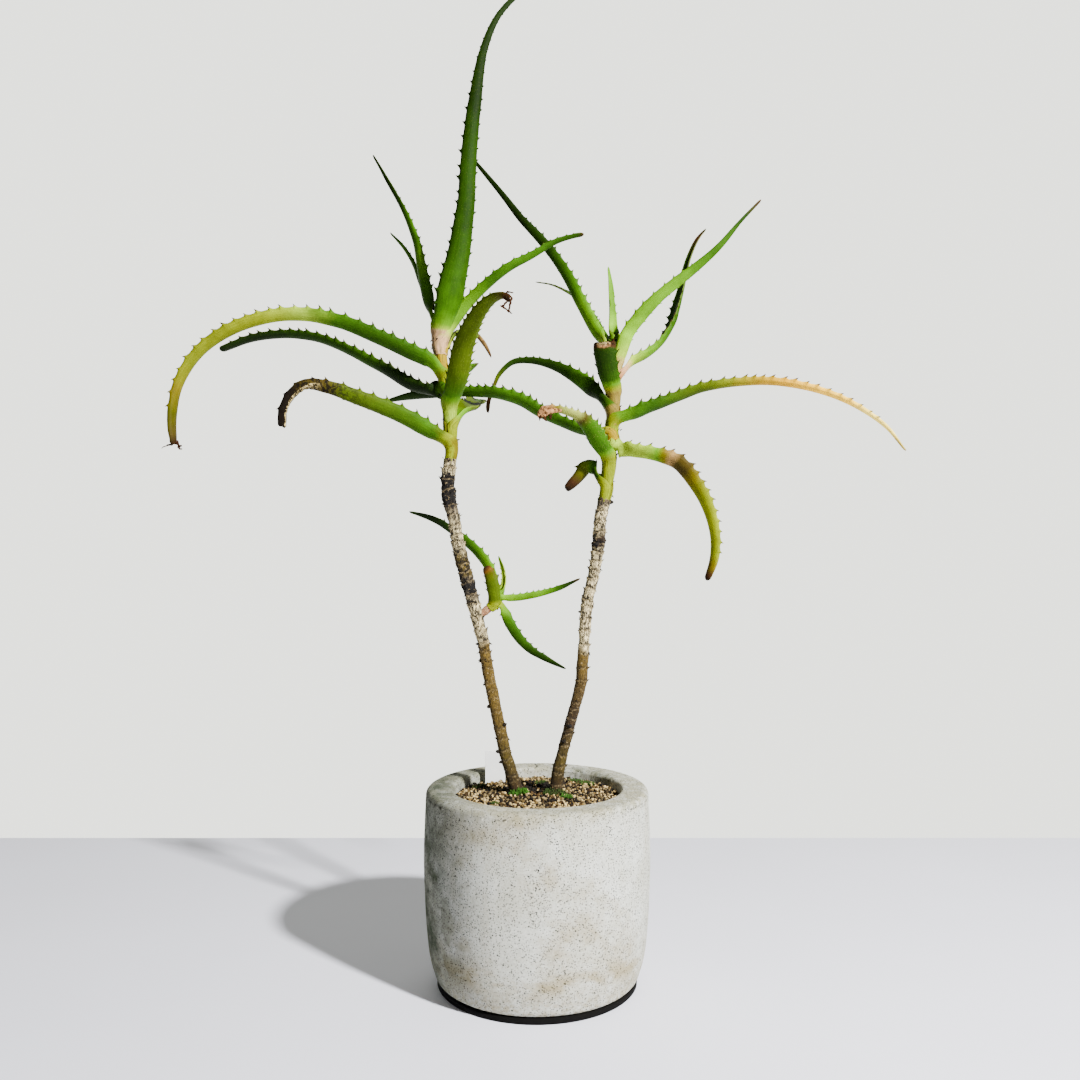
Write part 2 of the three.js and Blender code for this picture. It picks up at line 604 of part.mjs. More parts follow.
function makeLabel(grow) {
  const half = labelWidth / 2 + grow;
  const outline = new THREE.Shape();
  outline.moveTo(-half, labelTop + grow);
  outline.lineTo(-half, labelTop - labelLength + labelPoint);
  outline.lineTo(0, labelTop - labelLength - grow);
  outline.lineTo(half, labelTop - labelLength + labelPoint);
  outline.lineTo(half, labelTop + grow);
  outline.closePath();
  const depth = labelThickness + 2 * grow;
  const geometry = new THREE.ExtrudeGeometry(outline, { depth, bevelEnabled: false });
  geometry.translate(0, 0, -depth / 2);
  geometry.rotateX(Math.PI / 2);
  geometry.translate(labelPlace[0], labelPlace[1], 0);
  return toSolid(geometry);
}

// Stems
function pointAtHeight(line, height) {
  let step = 0;
  while (step < line.length - 2 && line[step + 1][2] < height) step += 1;
  const [low, high] = [line[step], line[step + 1]];
  const share = (height - low[2]) / (high[2] - low[2]);
  return low.map((value, axis) => lerp(value, high[axis], share));
}

function roundRing(centre, radius, sides, along) {
  const side = new THREE.Vector3(1, 0, 0).addScaledVector(along, -along.x).normalize();
  const other = along.clone().cross(side);
  const ring = [];
  for (let i = 0; i < sides; i += 1) {
    const angle = (2 * Math.PI * i) / sides;
    const point = centre.clone();
    point.addScaledVector(side, radius * Math.cos(angle)).addScaledVector(other, radius * Math.sin(angle));
    ring.push(point);
  }
  return ring;
}

function directionAt(line, height) {
  const ahead = vector(pointAtHeight(line, height + 3));
  return ahead.sub(vector(pointAtHeight(line, height - 3))).normalize();
}

function makeStem(stem, grow) {
  const { line, barkTop } = stem;
  const foot = line[0][2];
  const top = line[line.length - 1][2];
  const rings = [];
  const addRing = (height, radius) => {
    const centre = vector(pointAtHeight(line, height));
    rings.push(roundRing(centre, radius + grow, stemSides, directionAt(line, height)));
  };
  const steps = Math.max(2, Math.round((barkTop - foot) / scarSpacing));
  for (let step = 0; step <= steps; step += 1) {
    const height = lerp(foot - (step ? 0 : grow), barkTop + grow, step / steps);
    const scar = grow ? scarHeight : scarHeight * (step % 2 ? 1 : -1) * (0.5 + 0.5 * scatter(step, 3));
    addRing(height, pointAtHeight(line, height)[3] + scar);
  }
  addRing(barkTop + grow + 0.3, coreRadius);
  addRing((barkTop + top) / 2, lerp(coreRadius, coreTipRadius, 0.5));
  addRing(top + grow, coreTipRadius);
  return toSolid(bodyThroughRings(rings));
}

// Leaves: a channelled blade with a rounded back, swept along its spine
function bladeSection(at, grow) {
  const top = at.face.clone().addScaledVector(at.along, -at.face.dot(at.along)).normalize();
  const side = at.along.clone().cross(top);
  const half = at.width / 2 + grow;
  const depth = Math.max(at.width * leafDepth, marginThickness) + 2 * grow;
  const high = depth / 2;
  const edge = Math.min(marginThickness + 2 * grow, depth);
  const outline = [
    [-half, high], [0, high - at.width * channelDepth], [half, high], [half, high - edge],
    [half * 0.62, -high * 0.62], [0, -high], [-half * 0.62, -high * 0.62], [-half, high - edge],
  ];
  const ring = outline.map(([across, rise]) => {
    return at.point.clone().addScaledVector(side, across).addScaledVector(top, rise);
  });
  return { ring, side };
}

// Stations along the spine, one tooth's spacing apart
function spineStations(leaf) {
  const curve = new THREE.CatmullRomCurve3(leaf.spine.map(vector), false, 'centripetal');
  const spans = leaf.spine.length - 1;
  const faces = leaf.face.map(vector);
  const places = [];
  for (let span = 0; span < spans; span += 1) {
    const length = vector(leaf.spine[span]).distanceTo(vector(leaf.spine[span + 1]));
    const parts = Math.max(1, Math.round(length / toothSpacing));
    for (let part = 0; part < parts; part += 1) places.push((span + part / parts) / spans);
  }
  places.push(1);
  return places.map((place) => {
    const span = Math.min(Math.floor(place * spans), spans - 1);
    const width = lerp(leaf.spine[span][3], leaf.spine[span + 1][3], place * spans - span);
    const face = faces[0].clone().lerp(faces[1], place);
    return { place, point: curve.getPoint(place), along: curve.getTangent(place), face, width };
  });
}

// One hooked tooth raised on the margin between two stations
function addTooth(positions, index, corners, at, out, grow) {
  const pointAt = (corner) => new THREE.Vector3().fromArray(positions, corner * 3);
  const [lowA, lowB, highB, highA] = corners.map(pointAt);
  const onMargin = (across, along) => {
    return lowA.clone().lerp(lowB, across).lerp(highA.clone().lerp(highB, across), along);
  };
  const size = Math.min(1, at.width / 9 + 0.25);
  const back = onMargin(0.5, toothStart);
  const frontA = onMargin(0.15, toothEnd);
  const frontB = onMargin(0.85, toothEnd);
  const apex = onMargin(0.5, (toothStart + toothEnd) / 2).addScaledVector(out, toothOut * size + grow);
  apex.addScaledVector(at.along, toothForward * size);
  const [p, q, r, a] = [0, 1, 2, 3].map((step) => positions.length / 3 + step);
  for (const point of [back, frontA, frontB, apex]) positions.push(point.x, point.y, point.z);
  const [l0, l1, h1, h0] = corners;
  index.push(l0, l1, p, l1, r, p, l1, h1, r, h1, q, r, h1, h0, q, h0, l0, q, l0, p, q);
  index.push(p, r, a, r, q, a, q, p, a);
}

function makeBlade(leaf, grow) {
  const stations = spineStations(leaf);
  const sections = stations.map((at) => bladeSection(at, grow));
  const sides = sections[0].ring.length;
  const rightMargin = 2;
  const leftMargin = sides - 1;
  const positions = sections.flatMap(({ ring }) => ring.flatMap((p) => p.toArray()));
  const index = [];
  for (let ring = 0; ring < sections.length - 1; ring += 1) {
    const at = stations[ring];
    const toothed = at.place >= leaf.teeth[0] && at.place <= leaf.teeth[1] && at.width > narrowestToothed;
    for (let side = 0; side < sides; side += 1) {
      const low = ring * sides;
      const next = (side + 1) % sides;
      const corners = [low + side, low + next, low + sides + next, low + sides + side];
      if (toothed && side === rightMargin) {
        addTooth(positions, index, corners, at, sections[ring].side, grow);
      } else if (toothed && side === leftMargin) {
        addTooth(positions, index, corners, at, sections[ring].side.clone().negate(), grow);
      } else {
        index.push(corners[0], corners[1], corners[2], corners[0], corners[2], corners[3]);
      }
    }
  }
  addCaps(index, sections.length, sides);
  return toSolid(bodyFrom(positions, index));
}

function makeLeaf(leaf, grow) {
  const { line } = stems[leaf.stem];
  const [low, high] = leaf.sheath;
  const wrap = [[low - grow, leaf.radius[0]], [high + grow, leaf.radius[1]]].map(([height, radius]) => {
    const centre = vector(pointAtHeight(line, height));
    return roundRing(centre, radius + grow, sheathSides, directionAt(line, height));
  });
  return makeBlade(leaf, grow).add(toSolid(bodyThroughRings(wrap)));
}

// Assembly
const aloe = new THREE.Group();
aloe.name = 'potted_krantz_aloe';

function addPiece(name, solid, colour, roughness) {
  const material = new THREE.MeshStandardMaterial({ color: colours[colour], roughness, metalness: 0 });
  const mesh = new THREE.Mesh(toGeometry(solid), material);
  mesh.name = name;
  aloe.add(mesh);
}

const stemSolid = (grow) => ({
  left: makeStem(stems.left, grow).add(makeStem(stems.shoot, grow)),
  right: makeStem(stems.right, grow),
});
const stemBodies = stemSolid(0);
const stemRoom = stemSolid(clearance);

let soil = makeSoil();
soil = soil.subtract(stemRoom.left).subtract(stemRoom.right).subtract(makeLabel(clearance));

addPiece('pot', makePot(), 'concrete', 0.85);
addPiece('base_pad', makePad(), 'pad', 0.9);
addPiece('drain_net', makeNet(), 'net', 0.6);
addPiece('drainage_layer', makeDrainage(), 'pumice', 0.95);
addPiece('soil', largestPiece(soil), 'soil', 0.98);
addPiece('plant_label', makeLabel(0), 'label', 0.45);
addPiece('stem_left', stemBodies.left, 'bark', 0.9);
addPiece('stem_right', stemBodies.right, 'bark', 0.9);

// Each leaf gives way to the stems and to the leaves inside it
const room = [stemRoom.left, stemRoom.right];
for (const leaf of leaves) {
  let solid = makeLeaf(leaf, 0);
  for (const other of room) {
    if (boxesMeet(solid, other)) solid = solid.subtract(other);
  }
  addPiece(leaf.name, largestPiece(solid.simplify(finestDetail)), leaf.colour, 0.45);
  room.push(makeLeaf(leaf, clearance));
}

export default aloe;
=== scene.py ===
# Potted krantz aloe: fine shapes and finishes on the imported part. Metres, +Z up;
# the tables of stems and leaves are in millimetres, as the solids' are.
import bisect
import math
import random

import bmesh
import bpy
from mathutils import Matrix, Vector, kdtree, noise


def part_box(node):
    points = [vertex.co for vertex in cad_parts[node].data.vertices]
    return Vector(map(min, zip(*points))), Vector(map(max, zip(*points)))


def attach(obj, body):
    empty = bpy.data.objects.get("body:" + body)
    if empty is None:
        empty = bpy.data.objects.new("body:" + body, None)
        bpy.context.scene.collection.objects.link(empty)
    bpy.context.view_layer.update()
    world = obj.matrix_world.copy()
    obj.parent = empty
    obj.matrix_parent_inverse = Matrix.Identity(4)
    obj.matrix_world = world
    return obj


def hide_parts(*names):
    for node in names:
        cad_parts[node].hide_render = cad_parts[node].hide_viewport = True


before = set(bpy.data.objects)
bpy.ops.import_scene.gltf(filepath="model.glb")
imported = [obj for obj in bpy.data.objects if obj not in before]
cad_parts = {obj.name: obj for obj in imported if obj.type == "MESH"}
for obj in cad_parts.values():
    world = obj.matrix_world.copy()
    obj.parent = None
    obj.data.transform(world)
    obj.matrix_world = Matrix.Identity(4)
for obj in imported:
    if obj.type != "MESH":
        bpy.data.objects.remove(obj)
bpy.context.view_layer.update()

mm = 0.001
up = Vector((0, 0, 1))
noiseSeed = 17
# noise vectors start from the clock unless they are seeded
noise.seed_set(noiseSeed)

tones = {
    "tan": "#7c662a", "cream": "#b39c58", "paleGreen": "#86a024", "lime": "#6f9f0c", "light": "#507c06",
    "green": "#2e5402", "mid": "#234201", "deep": "#172e01", "dark": "#0e1e01", "oliveGreen": "#3c4c01",
    "yellowGreen": "#767f02", "yellow": "#94760a", "ochre": "#5f5503", "orange": "#c99412",
    "orangePale": "#e8b836", "strawYellow": "#f0d25c", "olive": "#3d3e02", "oliveBrown": "#3c310a",
    "paleOlive": "#858c3c", "brown": "#36200c", "black": "#0e0905", "pink": "#a06c48", "pinkPale": "#b8906a",
    "driedTan": "#8f7040", "driedPink": "#a3744a", "driedCream": "#cdb67a", "marginPale": "#a3ae54",
    "toothBrown": "#261106", "barkTan": "#665016", "barkOlive": "#50420f", "barkBrown": "#35250f",
    "barkDark": "#0b0603", "barkWhite": "#e4d19c", "barkGrey": "#73664d", "barkYoung": "#8a5f42",
    "scarPale": "#ab9468", "concrete": "#afae9f", "concretePale": "#c6c8c0", "concreteStain": "#86764a",
    "pit": "#0e0b07", "mossDark": "#2f3814", "dampStainAndShadeGreen": "#3a4030", "grainPale": "#cbb078",
    "grainTan": "#7a6233", "grainBrown": "#3d290f", "grainDark": "#100a04", "darkSoilAndGapShade": "#080502",
    "mossGreen": "#356a0e", "orangeBrown": "#5c3a0c",
    "padDark": "#050403", "pumice": "#b8a68a", "net": "#33363a", "labelWhite": "#eeeeea",
    "floorPale": "#e4e4ee", "mustard": "#626902", "rimGrime": "#827d5c",
}


def lerp(a, b, share):
    return a + (b - a) * share


def clamped(value):
    return min(1.0, max(0.0, value))


def eased(value):
    value = clamped(value)
    return value * value * (3 - 2 * value)


def colour(name):
    # the shaders want linear light
    text = tones[name]
    parts = [int(text[k:k + 2], 16) / 255 for k in (1, 3, 5)]
    return [p / 12.92 if p < 0.04045 else ((p + 0.055) / 1.055) ** 2.4 for p in parts] + [1.0]


def ringSpots(radius, count):
    # evenly spaced places round a circle
    turns = [2 * math.pi * k / count for k in range(count)]
    return [(radius * math.cos(t), radius * math.sin(t)) for t in turns]


def meshFrom(bm, name):
    mesh = bpy.data.meshes.new(name)
    bm.to_mesh(mesh)
    bm.free()
    return mesh


def addObject(name, data):
    made = bpy.data.objects.new(name, data)
    bpy.context.scene.collection.objects.link(made)
    return made


# Camera, as the photograph was taken: level, straight at the pot
cameraSettings = {"place": (0.002, -0.738, 0.3144), "focalPixels": 1030, "photoPixels": 1080, "sensor": 36}


def makeCamera():
    data = bpy.data.cameras.new("camera")
    data.sensor_width = cameraSettings["sensor"]
    data.lens = cameraSettings["sensor"] * cameraSettings["focalPixels"] / cameraSettings["photoPixels"]
    data.clip_start = 0.01
    camera = addObject("camera", data)
    camera.location = cameraSettings["place"]
    camera.rotation_euler = (math.pi / 2, 0, 0)
    bpy.context.scene.camera = camera


# Short calls for the nodes that the finishes are made of
class Finish:
    def __init__(self, name, roughness=0.6, specular=0.5):
        self.material = bpy.data.materials.new(name)
        self.material.use_nodes = True
        self.tree = self.material.node_tree
        self.shader = self.tree.nodes["Principled BSDF"]
        self.shader.inputs["Roughness"].default_value = roughness
        self.shader.inputs["Specular IOR Level"].default_value = specular

    def feed(self, socket, value):
        # a socket takes another node's output, a plain value or the name of a tone
        if isinstance(value, bpy.types.NodeSocket):
            self.tree.links.new(value, socket)
        else:
            socket.default_value = colour(value) if isinstance(value, str) else value

    def node(self, kind, **values):
        node = self.tree.nodes.new("ShaderNode" + kind)
        for name, value in values.items():
            self.feed(node.inputs[name], value)
        return node

    def place(self, scale=(1, 1, 1)):
        where = self.node("TexCoord").outputs["Object"]
        return self.node("Mapping", Vector=where, Scale=scale).outputs["Vector"]

    def attribute(self, name):
        node = self.node("Attribute")
        node.attribute_name = name
        return node.outputs["Fac"]

    def together(self, x, y):
        return self.node("CombineXYZ", X=x, Y=y).outputs["Vector"]

    def component(self, vector, axis="Z"):
        return self.node("SeparateXYZ", Vector=vector).outputs[axis]

    def noise(self, vector, scale, detail=4.0, roughness=0.55):
        node = self.node("TexNoise", Vector=vector, Scale=scale, Detail=detail, Roughness=roughness)
        return node.outputs["Fac"]

    def spots(self, vector, scale, output="Distance"):
        return self.node("TexVoronoi", Vector=vector, Scale=scale).outputs[output]

    def ranged(self, value, low, high, toLow=0.0, toHigh=1.0):
        node = self.node("MapRange", Value=value)
        for socket, number in zip(node.inputs[1:5], (low, high, toLow, toHigh)):
            socket.default_value = number
        return node.outputs["Result"]

    def maths(self, operation, a, b=0.0):
        node = self.node("Math")
        node.operation = operation
        self.feed(node.inputs[0], a)
        self.feed(node.inputs[1], b)
        return node.outputs["Value"]

    def plus(self, a, b):
        return self.maths("ADD", a, b)

    def minus(self, a, b):
        return self.maths("SUBTRACT", a, b)

    def times(self, a, b):
        return self.maths("MULTIPLY", a, b)

    def most(self, a, b):
        return self.maths("MAXIMUM", a, b)

    def ramp(self, value, stops):
        node = self.node("ValToRGB", Fac=value)
        elements = node.color_ramp.elements
        while len(elements) < len(stops):
            elements.new(0.5)
        for element, (position, name) in zip(elements, stops):
            element.position = position
            element.color = colour(name)
        return node.outputs["Color"]

    def mix(self, factor, a, b):
        node = self.node("Mix")
        node.data_type = "RGBA"
        self.feed(node.inputs["Factor"], factor)
        self.feed(node.inputs[6], a)
        self.feed(node.inputs[7], b)
        return node.outputs[2]

    def shaded(self, base, factor, dark, bright):
        # the colour made darker or brighter by a factor from 0 to 1
        value = self.ranged(factor, 0.25, 0.75, dark, bright)
        return self.node("HueSaturation", Value=value, Color=base).outputs["Color"]

    def bumped(self, height, strength, distance):
        node = self.node("Bump", Height=height, Strength=strength, Distance=distance)
        self.feed(self.shader.inputs["Normal"], node.outputs["Normal"])

    def done(self, base, roughness=None):
        self.feed(self.shader.inputs["Base Color"], base)
        if roughness is not None:
            self.feed(self.shader.inputs["Roughness"], roughness)
        return self.material


def showPiece(bm, name, material, slot, *standsFor):
    # a finished mesh as a piece of the plant
    bmesh.ops.recalc_face_normals(bm, faces=bm.faces)
    mesh = meshFrom(bm, name)
    mesh.materials.append(material)
    mesh.shade_smooth()
    piece = addObject(name, mesh)
    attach(piece, "root")
    if standsFor:
        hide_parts(*standsFor)
    return piece


def addTube(bm, rings, values):
    # a closed skin through rings of points; values holds numbers for each ring's points
    sides, rows = len(rings[0]), len(rings) - 1
    layers = {key: bm.verts.layers.float.get(key) or bm.verts.layers.float.new(key) for key in values}
    made = bmesh.ops.create_grid(bm, x_segments=sides, y_segments=rows, size=1)["verts"]
    seam = []
    for vert in made:
        column = round((vert.co.x + 1) / 2 * sides)
        row = round((vert.co.y + 1) / 2 * rows)
        if column in (0, sides):
            seam.append(vert)
        vert.co = rings[row][column % sides]
        for key, layer in layers.items():
            vert[layer] = values[key][row][column % sides]
    edges = list({edge for vert in made for edge in vert.link_edges})
    bmesh.ops.remove_doubles(bm, verts=seam, dist=1e-7)
    ends = [edge for edge in edges if edge.is_valid and edge.is_boundary]
    bmesh.ops.holes_fill(bm, edges=ends, sides=0)


def spinProfile(bm, profile, steps):
    # a closed body of revolution from points of radius and height, in metres
    verts = [bm.verts.new((radius, 0, height)) for radius, height in profile]
    edges = [bm.edges.new(pair) for pair in zip(verts, verts[1:])]
    bmesh.ops.spin(bm, geom=verts + edges, cent=(0, 0, 0), axis=(0, 0, 1), angle=2 * math.pi,
                   steps=steps, use_merge=True, use_duplicate=False)
    poles = [v for v in bm.verts if v.co.xy.length < 1e-5]
    bmesh.ops.remove_doubles(bm, verts=poles, dist=1e-5)


def cutDrainHoles(piece, bottom, top):
    # plain round holes, cut once and for all, a little longer than the floor is thick
    radius, spare = potSettings["holeRadius"] * mm, potSettings["holeSpare"] * mm
    bottom, top = bottom - spare, top + spare
    ring, count = potSettings["holeRing"] * mm, potSettings["holes"]
    turns = [2 * math.pi * (k + 0.25) / count for k in range(count)]
    bm = bmesh.new()
    for x, y in [(ring * math.cos(t), ring * math.sin(t)) for t in turns]:
        where = Matrix.Translation((x, y, (top + bottom) / 2))
        bmesh.ops.create_cone(bm, cap_ends=True, segments=32, radius1=radius, radius2=radius,
                              depth=top - bottom, matrix=where)
    cutter = addObject("holeCutter", meshFrom(bm, "holeCutter"))
    modifier = piece.modifiers.new("holes", "BOOLEAN")
    modifier.object = cutter
    modifier.operation = "DIFFERENCE"
    graph = bpy.context.evaluated_depsgraph_get()
    cut = bpy.data.meshes.new_from_object(piece.evaluated_get(graph))
    piece.modifiers.remove(modifier)
    piece.data = cut
    bpy.data.objects.remove(cutter)


# Pot
potLow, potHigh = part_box("pot")
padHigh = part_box("base_pad")[1]
potSettings = {
    "columns": 480, "rowStep": 1.1, "rimRadius": 79.2, "rimInner": 59.9, "outerRound": 4, "innerRound": 3,
    "footRadius": 67.5, "footRound": 5.5, "underside": (0, 30, 55), "floorTop": 17, "floorRing": 30,
    "middles": [(76.3, 21), (79, 45), (80.7, 88), (80.1, 112)],
    "inner": [(59.3, 90), (57.5, 34), (54, 18.2), (51, 17)], "innerStep": 4,
    "shownAbove": 0.5, "shownOutside": 57.5,
    "wave": 0.35, "waveScale": 22, "roughness": 0.13, "roughScale": 620,
    "chips": 90, "chipSize": (0.9, 2.0), "chipDepth": (0.25, 0.6), "chipDark": 0.45,
    "crackSteps": 12, "crackShake": 0.5, "crackDepth": 0.35, "crackDark": 0.9, "stainScale": 350,
    "holes": 3, "holeRadius": 4.5, "holeRing": 21, "holeSpare": 2, "seed": 5,
}
# cracks in the rim and dark damp stains, as angle in degrees and radius in millimetres
rimCracks = [[(91, 61), (90, 66), (91.5, 71), (90.5, 77)], [(130, 62), (133, 68), (131, 76)],
             [(112, 70), (108, 73), (104, 78)]]
rimStains = [(137, 62, 9), (131, 61, 7), (60, 60, 12), (45, 60, 11), (32, 60, 9), (75, 60, 6), (158, 61, 5)]


def arcPoints(radius, height, size, start, end, steps):
    turns = [math.radians(lerp(start, end, k / steps)) for k in range(steps + 1)]
    return [(radius + size * math.cos(t), height + size * math.sin(t)) for t in turns]


def smoothThrough(points, step):
    # evenly spaced points on a curve through a few
    knots = [Vector((x, y, 0)) for x, y in points]
    walked = [p for _, p in curveSamples(knots, 24)]
    made, gone = [walked[0]], 0.0
    for a, b in zip(walked, walked[1:]):
        gone += (b - a).length
        if gone >= step:
            made.append(b)
            gone = 0.0
    return [(p.x, p.y) for p in made]


def spanCurve(p0, p1, p2, p3):
    # cubic between p1 and p2, with centripetal knots
    d0, d1, d2 = [max((b - a).length, 1e-6) ** 0.5 for a, b in ((p0, p1), (p1, p2), (p2, p3))]
    leave = ((p1 - p0) / d0 - (p2 - p0) / (d0 + d1) + (p2 - p1) / d1) * d1
    arrive = ((p2 - p1) / d1 - (p3 - p1) / (d1 + d2) + (p3 - p2) / d2) * d1
    square = 3 * (p2 - p1) - 2 * leave - arrive
    cube = 2 * (p1 - p2) + leave + arrive
    return lambda t: p1 + leave * t + square * t * t + cube * t * t * t


def curveSamples(points, parts):
    # (knot number, point) along a smooth curve through points
    padded = [2 * points[0] - points[1], *points, 2 * points[-1] - points[-2]]
    samples = []
    for k in range(len(points) - 1):
        at = spanCurve(*padded[k:k + 4])
        samples += [(k + i / parts, at(i / parts)) for i in range(parts)]
    return samples + [(len(points) - 1.0, points[-1].copy())]


def concreteFinish():
    finish = Finish("concrete", 0.88, 0.12)
    place = finish.place()
    height = finish.component(place)
    cloud = finish.noise(place, 28, 6, 0.6)
    base = finish.mix(finish.ranged(cloud, 0.35, 0.68), "concrete", "concretePale")
    # ochre band above the foot, streaks down the wall and soft patches
    band = finish.times(finish.ranged(height, 0.012, 0.026), finish.ranged(height, 0.05, 0.03))
    patchy = finish.ranged(finish.noise(finish.place((1, 1, 2)), 30, 5, 0.6), 0.42, 0.6)
    band = finish.times(band, patchy)
    streak = finish.ranged(finish.noise(finish.place((60, 60, 9)), 1.0, 4, 0.6), 0.52, 0.75, 0, 0.3)
    patch = finish.ranged(finish.noise(place, 15, 6, 0.7), 0.5, 0.7, 0, 0.75)
    stain = finish.most(finish.most(finish.times(band, 0.75), streak), patch)
    base = finish.mix(stain, base, "concreteStain")
    dust = finish.ranged(finish.noise(place, 320, 4), 0.4, 0.6)
    dust = finish.times(finish.ranged(height, 0.024, 0.01), dust)
    base = finish.mix(finish.times(dust, 0.5), base, "concreteStain")
    weathered = finish.ranged(finish.noise(place, 200, 6, 0.7), 0.36, 0.56)
    rim = finish.times(finish.ranged(height, 0.128, 0.1375), weathered)
    base = finish.mix(finish.times(rim, 0.62), base, "rimGrime")
    grime = finish.ranged(finish.noise(place, 160), 0.3, 0.6)
    base = finish.mix(finish.times(finish.attribute("stain"), grime), base, "mossDark")
    # the side away from the light is damp and greenish, and darkened further with painted shade
    damp = finish.ranged(finish.noise(place, 60, 7, 0.75), 0.05, 0.65)
    damp = finish.times(damp, finish.ranged(finish.component(place, "X"), -0.028, -0.072, 0, 1.1))
    base = finish.mix(damp, base, "dampStainAndShadeGreen")
    fine = finish.noise(place, 900, 3, 0.7)
    base = finish.shaded(base, fine, 0.7, 1.2)
    # small pits everywhere and a few bigger ones
    pits = 0.0
    for scale, size, share, depth in ((800, 0.36, 0.4, 0.8), (460, 0.24, 0.5, 1.0), (200, 0.14, 0.7, 1.0)):
        chosen = finish.ranged(finish.spots(place, scale, "Color"), share, share + 0.02)
        dots = finish.ranged(finish.spots(place, scale), size * 0.7, size, depth, 0)
        pits = finish.most(finish.times(chosen, dots), pits)
    base = finish.mix(pits, base, "pit")
    base = finish.mix(finish.attribute("crack"), base, "pit")
    finish.bumped(finish.minus(finish.times(fine, 0.5), pits), 0.6, 0.0008)
    return finish.done(base)


def makePot():
    settings = potSettings
    rng = random.Random(settings["seed"])
    bottom, rim = potLow.z / mm, potHigh.z / mm
    footRound = settings["footRound"]
    foot = arcPoints(settings["footRadius"], bottom + footRound, footRound, -90, -20, 8)
    outer = arcPoints(settings["rimRadius"] - settings["outerRound"], rim - settings["outerRound"],
                      settings["outerRound"], 0, 90, 7)
    inner = arcPoints(settings["rimInner"] + settings["innerRound"], rim - settings["innerRound"],
                      settings["innerRound"], 90, 180, 6)
    wall = smoothThrough([foot[-1], *settings["middles"], outer[0]], settings["rowStep"])
    lipStep = settings["rowStep"] / (outer[-1][0] - inner[0][0])
    lip = [(lerp(outer[-1][0], inner[0][0], k * lipStep), rim) for k in range(1, int(1 / lipStep))]
    lining = smoothThrough([inner[-1], *settings["inner"][:2]], settings["innerStep"])
    under = [(radius, bottom) for radius in settings["underside"]]
    floor = [(radius, settings["floorTop"]) for radius in (settings["floorRing"], 0)]
    profile = [*under, *foot, *wall[1:], *outer, *lip, *inner, *lining[1:], *settings["inner"][1:], *floor]
    bm = bmesh.new()
    crack = bm.verts.layers.float.new("crack")
    stain = bm.verts.layers.float.new("stain")
    spinProfile(bm, [(radius * mm, height * mm) for radius, height in profile], settings["columns"])
    bmesh.ops.recalc_face_normals(bm, faces=bm.faces)
    bm.normal_update()
    lowest, innermost = bottom * mm + settings["shownAbove"] * mm, settings["shownOutside"] * mm
    shown = [v for v in bm.verts if v.co.z > lowest and v.co.xy.length > innermost]
    tree = kdtree.KDTree(len(shown))
    for number, vert in enumerate(shown):
        tree.insert(vert.co, number)
    tree.balance()
    # a hand-cast wall is a little wavy, and its skin is rough
    for vert in shown:
        wave = noise.noise(vert.co * settings["waveScale"]) * settings["wave"]
        rough = noise.noise(vert.co * settings["roughScale"]) * settings["roughness"]
        vert.co += vert.normal * (wave * 0.5 + rough) * mm
    for _ in range(settings["chips"]):
        centre = shown[rng.randrange(len(shown))]
        size = rng.uniform(*settings["chipSize"]) * mm
        depth = rng.uniform(*settings["chipDepth"]) * mm
        for _, number, away in tree.find_range(centre.co, size):
            shown[number].co -= shown[number].normal * depth * (1 - (away / size) ** 2)
            dark = settings["chipDark"] * (1 - away / size)
            shown[number][crack] = max(shown[number][crack], dark)

    def onRim(degrees, radius):
        turn = math.radians(degrees)
        return Vector((radius * math.cos(turn) * mm, radius * math.sin(turn) * mm, rim * mm))

    steps, shake = settings["crackSteps"], settings["crackShake"]
    for line in rimCracks:
        for start, end in zip(line, line[1:]):
            for k in range(steps):
                spot = onRim(*start).lerp(onRim(*end), k / steps)
                spot += Vector((rng.uniform(-shake, shake), rng.uniform(-shake, shake), 0)) * mm
                _, number, _ = tree.find(spot)
                shown[number].co -= shown[number].normal * settings["crackDepth"] * mm
                shown[number][crack] = settings["crackDark"]
    for degrees, radius, size in rimStains:
        for co, number, away in tree.find_range(onRim(degrees, radius), size * mm):
            ragged = 0.6 + 0.8 * noise.noise(co * settings["stainScale"])
            shown[number][stain] = max(shown[number][stain], clamped((1.2 - away / (size * mm)) * ragged))
    pot = showPiece(bm, "concrete_pot", concreteFinish(), "concrete", "pot")
    cutDrainHoles(pot, potLow.z, settings["floorTop"] * mm)


# Dark pad under the pot
padSettings = {"columns": 160, "edge": 0.7}


def makePad():
    finish = Finish("dark_rubber", 0.85, 0.1)
    place = finish.place()
    grain = finish.noise(place, 700, 3)
    finish.bumped(grain, 0.4, 0.0005)
    material = finish.done(finish.shaded("padDark", grain, 0.7, 1.3))
    radius, edge = padHigh.x, padSettings["edge"] * mm
    profile = [(0, 0), (radius - edge, 0), (radius, edge), (radius, padHigh.z - edge),
               (radius - edge, padHigh.z), (0, padHigh.z)]
    bm = bmesh.new()
    spinProfile(bm, profile, padSettings["columns"])
    pad = showPiece(bm, "pot_pad", material, "dark_pad", "base_pad")
    cutDrainHoles(pad, 0.0, padHigh.z)


# What lies under the soil keeps its plain solids
def clothe(node, material):
    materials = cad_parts[node].data.materials
    materials.clear()
    materials.append(material)


def finishInside():
    net = Finish("plastic_net", 0.55)
    place = net.place()
    weave = net.noise(place, 500)
    net.bumped(weave, 0.2, 0.0003)
    clothe("drain_net", net.done(net.shaded("net", weave, 0.8, 1.2)))
    pumice = Finish("pumice", 0.95, 0.2)
    lumps = pumice.spots(pumice.place(), 190)
    pumice.bumped(lumps, 0.9, 0.004)
    tone = pumice.ramp(lumps, [(0.0, "grainPale"), (0.5, "pumice"), (0.9, "grainBrown")])
    clothe("drainage_layer", pumice.done(tone))


